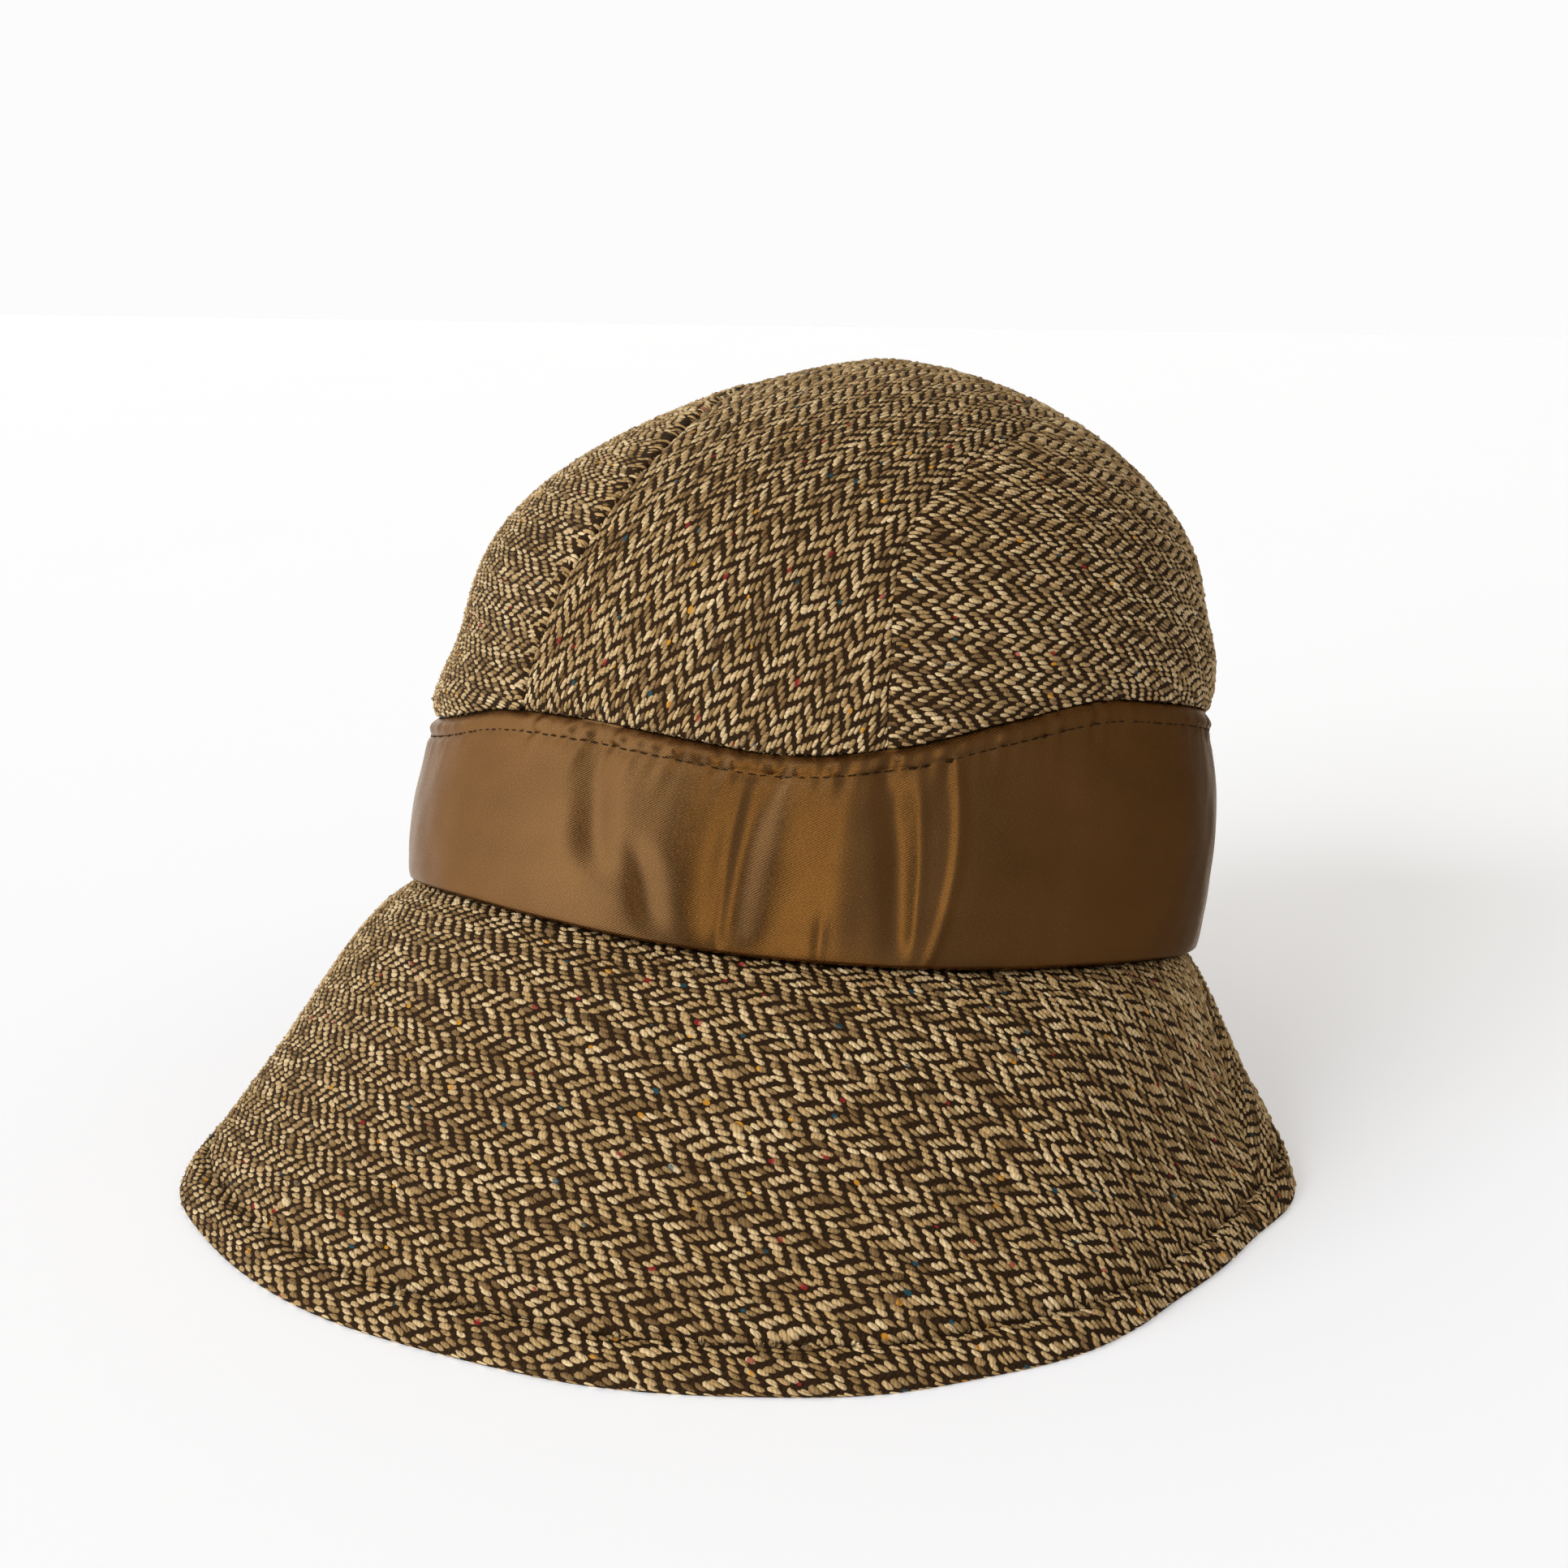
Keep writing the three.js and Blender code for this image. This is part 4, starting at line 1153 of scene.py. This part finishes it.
def with_flecks(place, wool):
    """Small tufts of coloured wool that were spun into the yarn, here and there."""
    tweed = bpy.context.scene.hat_tweed
    inputs = {"Vector": scaled(place, (0.17, 0.12)), "Scale": 1.0}
    tuft = place.node("ShaderNodeTexVoronoi", {"voronoi_dimensions": "2D"}, inputs)
    chance = tuft.node("ShaderNodeSeparateColor", inputs={0: tuft.out("Color")})
    kinds = {"interpolation": "CONSTANT",
             "stops": [(0.0, tweed.fleck_red), (0.36, tweed.fleck_blue), (0.62, tweed.fleck_gold)]}
    bright = chance.node("ShaderNodeValToRGB", kinds, {0: chance})
    there = (chance.out("Green") < 0.36) * (tuft < chance.out("Blue") * 0.06 + 0.04)
    return (there * 0.8).blend(wool, bright)


def tweed_yarn(wire):
    """Raised warp floats: plied wool with a slanting twist, painted shade in the twist's grooves, and stray
    fibres.
    """
    place, (u, v), _, tone = weave_cell(wire)
    twist = (u * 1.7 + v * 1.25).zigzag()
    fibres = fibre_noise(place, 7.0, (1.0, 0.35), 3.0)
    # The wool is darkened in the grooves of the twist: painted shade. The fibre streaks are the wool's own
    # uneven tone.
    shade = twist * 0.34 + fibres * 0.5 + 0.42
    grey = shade.node("ShaderNodeCombineColor", inputs={0: shade, 1: shade, 2: shade})
    wool = grey.node("ShaderNodeMix", {"data_type": "RGBA", "blend_type": "MULTIPLY"},
                     {0: 1.0, 6: warp_colour(place, tone), 7: grey}, 2)
    finish(with_flecks(place, wool), 0.78 + fibres * 0.2, twist * 0.6 + fibres * 0.7, YARN_BUMP,
           Sheen_Weight=0.1, Sheen_Roughness=0.5, Specular_IOR_Level=0.2)


def tweed_ground(wire):
    """The cloth between and under the floats: dark weft with painted shade in the grooves between its picks,
    and the warp's wool where it shows.
    """
    tweed = bpy.context.scene.hat_tweed
    place, (_, v), (across, along), tone = weave_cell(wire)
    oval = (across / 0.5) ** 2 + (along / 1.1) ** 2
    warp = oval.node("ShaderNodeMapRange", {"interpolation_type": "SMOOTHSTEP"},
                     {"Value": oval, "From Min": 1.25, "From Max": 0.55})
    fibres = fibre_noise(place, 5.0, (0.35, 1.6), 3.0)
    ridge = v.zigzag() ** 0.6
    # The weft's lighter fibres are its own tone. They fade towards the grooves between the picks, which is
    # painted shade.
    weft = v.math("MULTIPLY", fibres * 1.5 - 0.42, ridge * 0.7 + 0.3, clamp=True)
    weft = weft.blend(rgba(tweed.weft_brown), rgba(tweed.weft_light))
    base = with_flecks(place, warp.blend(weft, warp_colour(place, tone)))
    height = warp * (1 - oval * 0.5) * 0.8 + ridge * 0.35 + fibres * 0.4
    finish(base, 0.85 + fibres * 0.12, height, GROUND_BUMP, Specular_IOR_Level=0.1)


def satin_weave(wire):
    """Bronze-brown satin: slanting float lines with painted highlight and shade, a golden soft gloss and
    faint streaks round the band.
    """
    satin = bpy.context.scene.hat_satin
    place, x, y = woven_place(wire)
    across = y * math.cos(satin.line_slope) - x * math.sin(satin.line_slope)
    line = (across / (satin.line_pitch / MM)).zigzag() ** 0.8
    grain = fibre_noise(place, 3.2, (0.7, 1.2), 3.0)
    cloud = fibre_noise(place, 0.035, (1.0, 1.6))
    # The slanting lines are lighter on their crests and darker between them: painted highlight and shade.
    # The grain is partly the satin's own uneven tone and partly painted highlight where it stands up. The
    # cloud is its own faint streaking.
    tone = line * 0.5 + grain * 1.0 + cloud * 0.4 - 0.41
    finish(tone.blend(rgba(satin.ground, 0.42), rgba(satin.ground, 1.36)), 0.2 + grain * 0.1,
           line * 0.35 + grain * 0.5, SATIN_BUMP, Metallic=satin.gloss,
           Specular_Tint=rgba([value * 0.55 + 0.45 for value in satin.ground]))


def sewing_thread(wire):
    """Dark plied thread, with painted shade in the grooves between its plies."""
    shade = bpy.context.scene.hat_thread.shade
    _, x, y = woven_place(wire)
    ply = (x * 2.2 + y * 2.0).zigzag()
    # The thread is darker in the grooves between its plies: painted shade.
    base = (ply * 0.7).blend(rgba(shade, 0.4), rgba(shade, 0.9))
    finish(base, 0.6 + ply * 0.1, ply, THREAD_BUMP, Specular_IOR_Level=0.04)


def pale_floor(wire):
    """Pale floor with a faint grain, which glows a little."""
    stage = bpy.context.scene.hat_stage
    grain = wire.node("ShaderNodeTexNoise", inputs={"Scale": 40.0})
    base = (grain * 0.2).blend(rgba(stage.floor), rgba(stage.floor, 0.97))
    finish(base, 0.75 + grain * 0.1, grain, FLOOR_BUMP, Emission_Color=rgba(stage.floor),
           Emission_Strength=stage.floor_glow)


# Sewing

def stitch_row(name, lines, sides=6, rings=5):
    """A closed row of stitches along the middle one of three lines, each dipping into the cloth."""
    thread = bpy.context.scene.hat_thread
    radius, half = thread.thickness / MM / 2, thread.stitch_length / MM / 2
    path, normals = (np.vstack([grid[1], grid[1, :1]]) for grid in (lines, grid_normals(lines, loop=True)))
    walked = lengths(path, 0)
    count = int(walked[-1] // (thread.stitch_pitch / MM))
    middle = (np.arange(count) + 0.5) * walked[-1] / count

    def at(distance, values):
        distance = distance % walked[-1]
        return np.stack([np.interp(distance, walked, values[:, i]) for i in range(3)], -1)

    points, maps = [], []
    for share_along in np.linspace(-1.0, 1.0, rings):
        there = middle + share_along * half
        centre, normal = at(there, path), unit(at(there, normals))
        way = unit(at(there + STITCH_SIGHT, path) - at(there - STITCH_SIGHT, path))
        beside = np.cross(way, normal)
        lift = radius * (STITCH_LIFT - STITCH_DIP * share_along**2)
        thick = radius * (1.0 - STITCH_TAPER * share_along**4)
        for turn_by in 2 * np.pi * np.arange(sides) / sides:
            side, up = thick * math.cos(turn_by), thick * math.sin(turn_by) + lift
            points.append(centre + beside * side + normal * up)
            maps.append(np.stack([there, np.full(count, turn_by / (2 * np.pi))], -1))
    points, maps = np.stack(points, 1), np.stack(maps, 1)
    k = np.arange(sides)
    beside_k = (k + 1) % sides
    ring = np.stack([k, beside_k, sides + beside_k, sides + k], -1)
    tube = [ring + r * sides for r in range(rings - 1)]
    caps = []
    for first, way in ((0, -1), ((rings - 1) * sides, 1)):
        loop = (first + k)[::way]
        caps += [(loop[0], loop[i], loop[i + 1], loop[i + 2]) for i in range(1, sides - 2, 2)]
    faces = np.concatenate([*tube, np.array(caps)])
    faces = (np.arange(count)[:, None, None] * sides * rings + faces).reshape(-1, 4)
    points, maps = points.reshape(-1, 3), maps.reshape(-1, 2)
    return make_piece(name, points, faces, {"weave": maps[faces]}, sewing_thread)


def turned_in(edge, row, outer, inner, chart):
    """A panel with its allowance added, which turns in at the band's upper seam and lies behind the band."""
    lower = wall_point(angle_of(edge), edge[:, 2] - ALLOWANCE_DROP)
    added = [
        np.stack([stand(line - wall_normal(line) * depth) for line in (edge, lower)])
        for depth in (ALLOWANCE_STEP, ALLOWANCE_STEP + ALLOWANCE_THICKNESS)
    ]
    steps = np.array([ALLOWANCE_STEP, ALLOWANCE_STEP + ALLOWANCE_DROP])[:, None, None]
    added.append(chart[row] + unit(chart[row] - chart[1 if row == 0 else -2]) * steps)
    pairs = zip(added, (outer, inner, chart))
    return [np.concatenate([new[::-1], old] if row == 0 else [old, new]) for new, old in pairs]


def sew_crown_panel(name, grid, seed_step):
    """One panel of the crown and its yarn; what it was cut to is worked out but passed on to nothing."""
    points, push, flat, sewn_rows = grid
    normals = wall_normal(points)
    outer = stand(points + normals * push[..., None])
    inner = stand(points + normals * (push - TWEED_THICKNESS)[..., None])
    chart = weave_chart(flat, name)
    faces, backs, places = outer, inner, chart
    for row in sewn_rows:
        faces, backs, places = turned_in(points[row], row, faces, backs, places)
    panel = cloth_shell(name + "_cloth", faces, backs, places, tweed_ground)
    settle(panel, name)
    yarn = raised_yarn(name + "_yarn", outer, chart, seed_step)
    declare_cloth(outer, np.ptp(flat, (0, 1)))


def sew_brim_panel(name, first, last, grid, seed_step):
    """One part of the brim with its rounded edge and its yarn; what it was cut to is worked out but passed
    on to nothing.
    """
    angle = np.linspace(first, last, grid[1])
    along = spread_ends(grid[0], BRIM_PINCH)[:, None]
    outer = brim_surface(angle, along)
    inner = outer - grid_normals(outer) * BRIM_THICKNESS
    shoulder = int(np.searchsorted(along[:, 0], BRIM_SHOULDER_END))
    ease = (along[:shoulder] / along[shoulder])[..., None]
    inner[:shoulder] = mix(brim_top(angle, BRIM_THICKNESS), inner[shoulder], ease)
    inner[..., 2] = np.maximum(inner[..., 2], 0.0)
    edge = rim_point(angle)
    chart = weave_chart(unrolled(brim_top(angle, 0.0), edge, along, BRIM_FANS[name]), name)
    tuck = -unit(edge * FLOOR_PLAN) * RIM_EDGE_TUCK
    edge_rows, floor_rows, edge_chart = [], [], []
    for row, degrees in enumerate(EDGE_TURNS, 1):
        edge_rows.append(edge + tuck * (1 - cosine(degrees)) - UP * RIM_EDGE_ROUND * sine(degrees))
        floor_rows.append(mix(inner[-1], edge + tuck, row / (len(EDGE_TURNS) + 1)) * FLOOR_PLAN)
        edge_chart.append(chart[-1] + (chart[-1] - chart[-2]) * row)
    faces, backs = np.concatenate([outer, edge_rows]), np.concatenate([inner, floor_rows])
    places = np.concatenate([chart, edge_chart])
    panel = cloth_shell(name + "_cloth", faces, backs, places, tweed_ground)
    settle(panel, name)
    yarn = raised_yarn(name + "_yarn", outer, chart, seed_step)
    flat_size = lengths(outer, 1)[len(outer) // 2, -1], lengths(outer, 0)[-1].max()
    declare_cloth(outer, flat_size)


# Stage

def lay_floor():
    """A wide pale floor, which glossy cloth doesn't mirror."""
    corners = [(x * FLOOR_REACH, y * FLOOR_REACH, 0) for x, y in ((-1, -1), (1, -1), (1, 1), (-1, 1))]
    mesh = bpy.data.meshes.new("floor")
    mesh.from_pydata(corners, [], [(0, 1, 2, 3)])
    mesh.materials.append(material(pale_floor))
    floor = put("floor", mesh)
    floor.visible_glossy = False


def light_room(stage):
    """The camera sees a pale room, the cloth an even light, and glossy cloth mirrors the windows."""
    world = bpy.data.worlds.new("room")
    world.use_nodes = True
    bpy.context.scene.world = world
    world.node_tree.nodes.clear()
    room = Wire(world.node_tree)
    seen = room.node("ShaderNodeLightPath")
    way = room.node("ShaderNodeTexCoord").out("Generated")
    x = way.node("ShaderNodeSeparateXYZ", inputs={0: way})
    place = x.math("ARCTAN2", x, 0 - x.out("Y")) / (2 * math.pi) + 0.5
    stops = [((degrees + 180) / 360, shade) for degrees, shade in MIRRORED_ROOM]
    mirrored = place.node("ShaderNodeValToRGB", {"stops": stops}, {0: place})
    gloss = seen.out("Is Glossy Ray")
    even = seen * (stage.backdrop - stage.sky) + stage.sky
    strength = even * (1 - gloss) + gloss * stage.gleam
    shade = gloss.blend(seen.blend(rgba(stage.sky_shade), (1.0, 1.0, 1.0, 1.0)), mirrored)
    light = seen.node("ShaderNodeBackground", inputs={"Color": shade, "Strength": strength})
    light.node("ShaderNodeOutputWorld", inputs={"Surface": light})


def hang_key(stage):
    """The wide light in front."""
    lamp = bpy.data.lights.new("key", "SUN")
    lamp.energy = stage.key
    lamp.angle = stage.key_width
    lamp.color = stage.key_shade
    key = put("key", lamp)
    key.rotation_euler = (math.pi / 2 - stage.key_height, 0.0, -stage.key_turn)
    key.location = KEY_PLACE
    key.visible_glossy = False


def set_camera(stage):
    """The camera, aimed at the hat."""
    lens = bpy.data.cameras.new("camera")
    lens.lens = stage.lens
    lens.sensor_width = SENSOR_WIDTH
    camera = put("camera", lens)
    aim = Vector(stage.camera_aim) - Vector(stage.camera_place)
    turned = aim.to_track_quat("-Z", "Y").to_matrix().to_4x4()
    roll = Matrix.Rotation(stage.camera_roll, 4, "Z")
    camera.matrix_world = Matrix.Translation(stage.camera_place) @ turned @ roll
    bpy.context.scene.camera = camera


class HAT_OT_sew_band(bpy.types.Operator):
    """Sew the folded satin band."""

    bl_idname = "hat.sew_band"
    bl_label = "Sew band"

    def execute(self, context):
        rows, columns = BAND_GRID
        angle = np.interp(np.arange(columns) / columns, BAND_COLUMN_SHARES, BAND_COLUMN_ANGLES)
        rise = spread_ends(rows, BAND_PINCH)[:, None]
        height = mix(lower_seam(angle), upper_seam(angle), rise)
        points, inwards = band_surface(angle, height)
        outer, inner = stand(points), stand(points + inwards * BAND_THICKNESS)
        round_it = lengths(np.vstack([outer[rows // 2], outer[rows // 2, :1]]), 0)
        tall = np.hstack([height, height[:, :1]])
        chart = np.stack(np.broadcast_arrays(round_it, tall), -1)
        band = cloth_shell("hat_band_satin", outer, inner, chart, satin_weave, loop=True)
        settle(band, "hat_band")
        flat_size = round_it[-1], lengths(outer, 0)[-1].max()
        declare_cloth(outer, flat_size)
        return {"FINISHED"}


class HAT_OT_sew_crown(bpy.types.Operator):
    """Sew the crown's centre strip and its two side panels."""

    bl_idname = "hat.sew_crown"
    bl_label = "Sew crown"

    def execute(self, context):
        sew_crown_panel("crown_center_panel", strip_grid(), 1)
        sew_crown_panel("crown_side_panel_left", side_grid(-1), 2)
        sew_crown_panel("crown_side_panel_right", side_grid(1), 3)
        return {"FINISHED"}


class HAT_OT_sew_brim(bpy.types.Operator):
    """Sew the brim's front and back panels."""

    bl_idname = "hat.sew_brim"
    bl_label = "Sew brim"

    def execute(self, context):
        seam, lap = SIDE_SEAM_AT_BAND, SIDE_SEAM_LAP
        sew_brim_panel("brim_front", -seam - lap, seam + lap, BRIM_FRONT_GRID, 4)
        sew_brim_panel("brim_back", seam - lap, 360 - seam + lap, BRIM_BACK_GRID, 5)
        return {"FINISHED"}


class HAT_OT_sew_rows(bpy.types.Operator):
    """Sew the rows of stitches on the band and near the brim's edge."""

    bl_idname = "hat.sew_rows"
    bl_label = "Sew stitch rows"

    def execute(self, context):
        thread = context.scene.hat_thread
        angle = np.linspace(-180.0, 180.0, ROW_POINTS, endpoint=False)
        height = upper_seam(angle) - (thread.topstitch_drop / MM + ROW_LINES)
        stitch_row("band_topstitch", stand(band_surface(angle, height)[0]))
        length = np.linalg.norm(rim_point(angle) - brim_top(angle, 0.0), axis=-1)
        along = 1 - (thread.edge_row_inset / MM + ROW_LINES) / length
        stitch_row("brim_edge_stitches", brim_surface(angle, along))
        return {"FINISHED"}


class HAT_OT_set_stage(bpy.types.Operator):
    """Lay the pale floor, and set the light and the camera."""

    bl_idname = "hat.set_stage"
    bl_label = "Set stage"

    def execute(self, context):
        stage = context.scene.hat_stage
        lay_floor()
        light_room(stage)
        hang_key(stage)
        set_camera(stage)
        context.scene.view_settings.view_transform = "Standard"
        return {"FINISHED"}


class HAT_PT_sidebar(bpy.types.Panel):
    """Lists the hat's settings and the steps that make it."""

    bl_label = "Cloche hat"
    bl_idname = "HAT_PT_sidebar"
    bl_space_type = "VIEW_3D"
    bl_region_type = "UI"
    bl_category = "Hat"

    def draw(self, context):
        for operator in OPERATORS:
            self.layout.operator(operator.bl_idname)
        for name, kind in SETTINGS.items():
            box = self.layout.box()
            box.label(text=kind.__doc__)
            for setting in kind.__annotations__:
                box.prop(getattr(context.scene, name), setting)


SETTINGS = {"hat_tweed": HatTweed, "hat_satin": HatSatin, "hat_thread": HatThread, "hat_stage": HatStage}
OPERATORS = (HAT_OT_sew_band, HAT_OT_sew_crown, HAT_OT_sew_brim, HAT_OT_sew_rows, HAT_OT_set_stage)
CLASSES = (*SETTINGS.values(), *OPERATORS, HAT_PT_sidebar)


def register():
    for kind in CLASSES:
        bpy.utils.register_class(kind)
    for name, kind in SETTINGS.items():
        setattr(bpy.types.Scene, name, PointerProperty(type=kind))


def unregister():
    for name in SETTINGS:
        delattr(bpy.types.Scene, name)
    for kind in reversed(CLASSES):
        bpy.utils.unregister_class(kind)


def main():
    register()
    bpy.ops.hat.sew_band()
    bpy.ops.hat.sew_crown()
    bpy.ops.hat.sew_brim()
    bpy.ops.hat.sew_rows()
    bpy.ops.hat.set_stage()


if __name__ == "__main__":
    main()
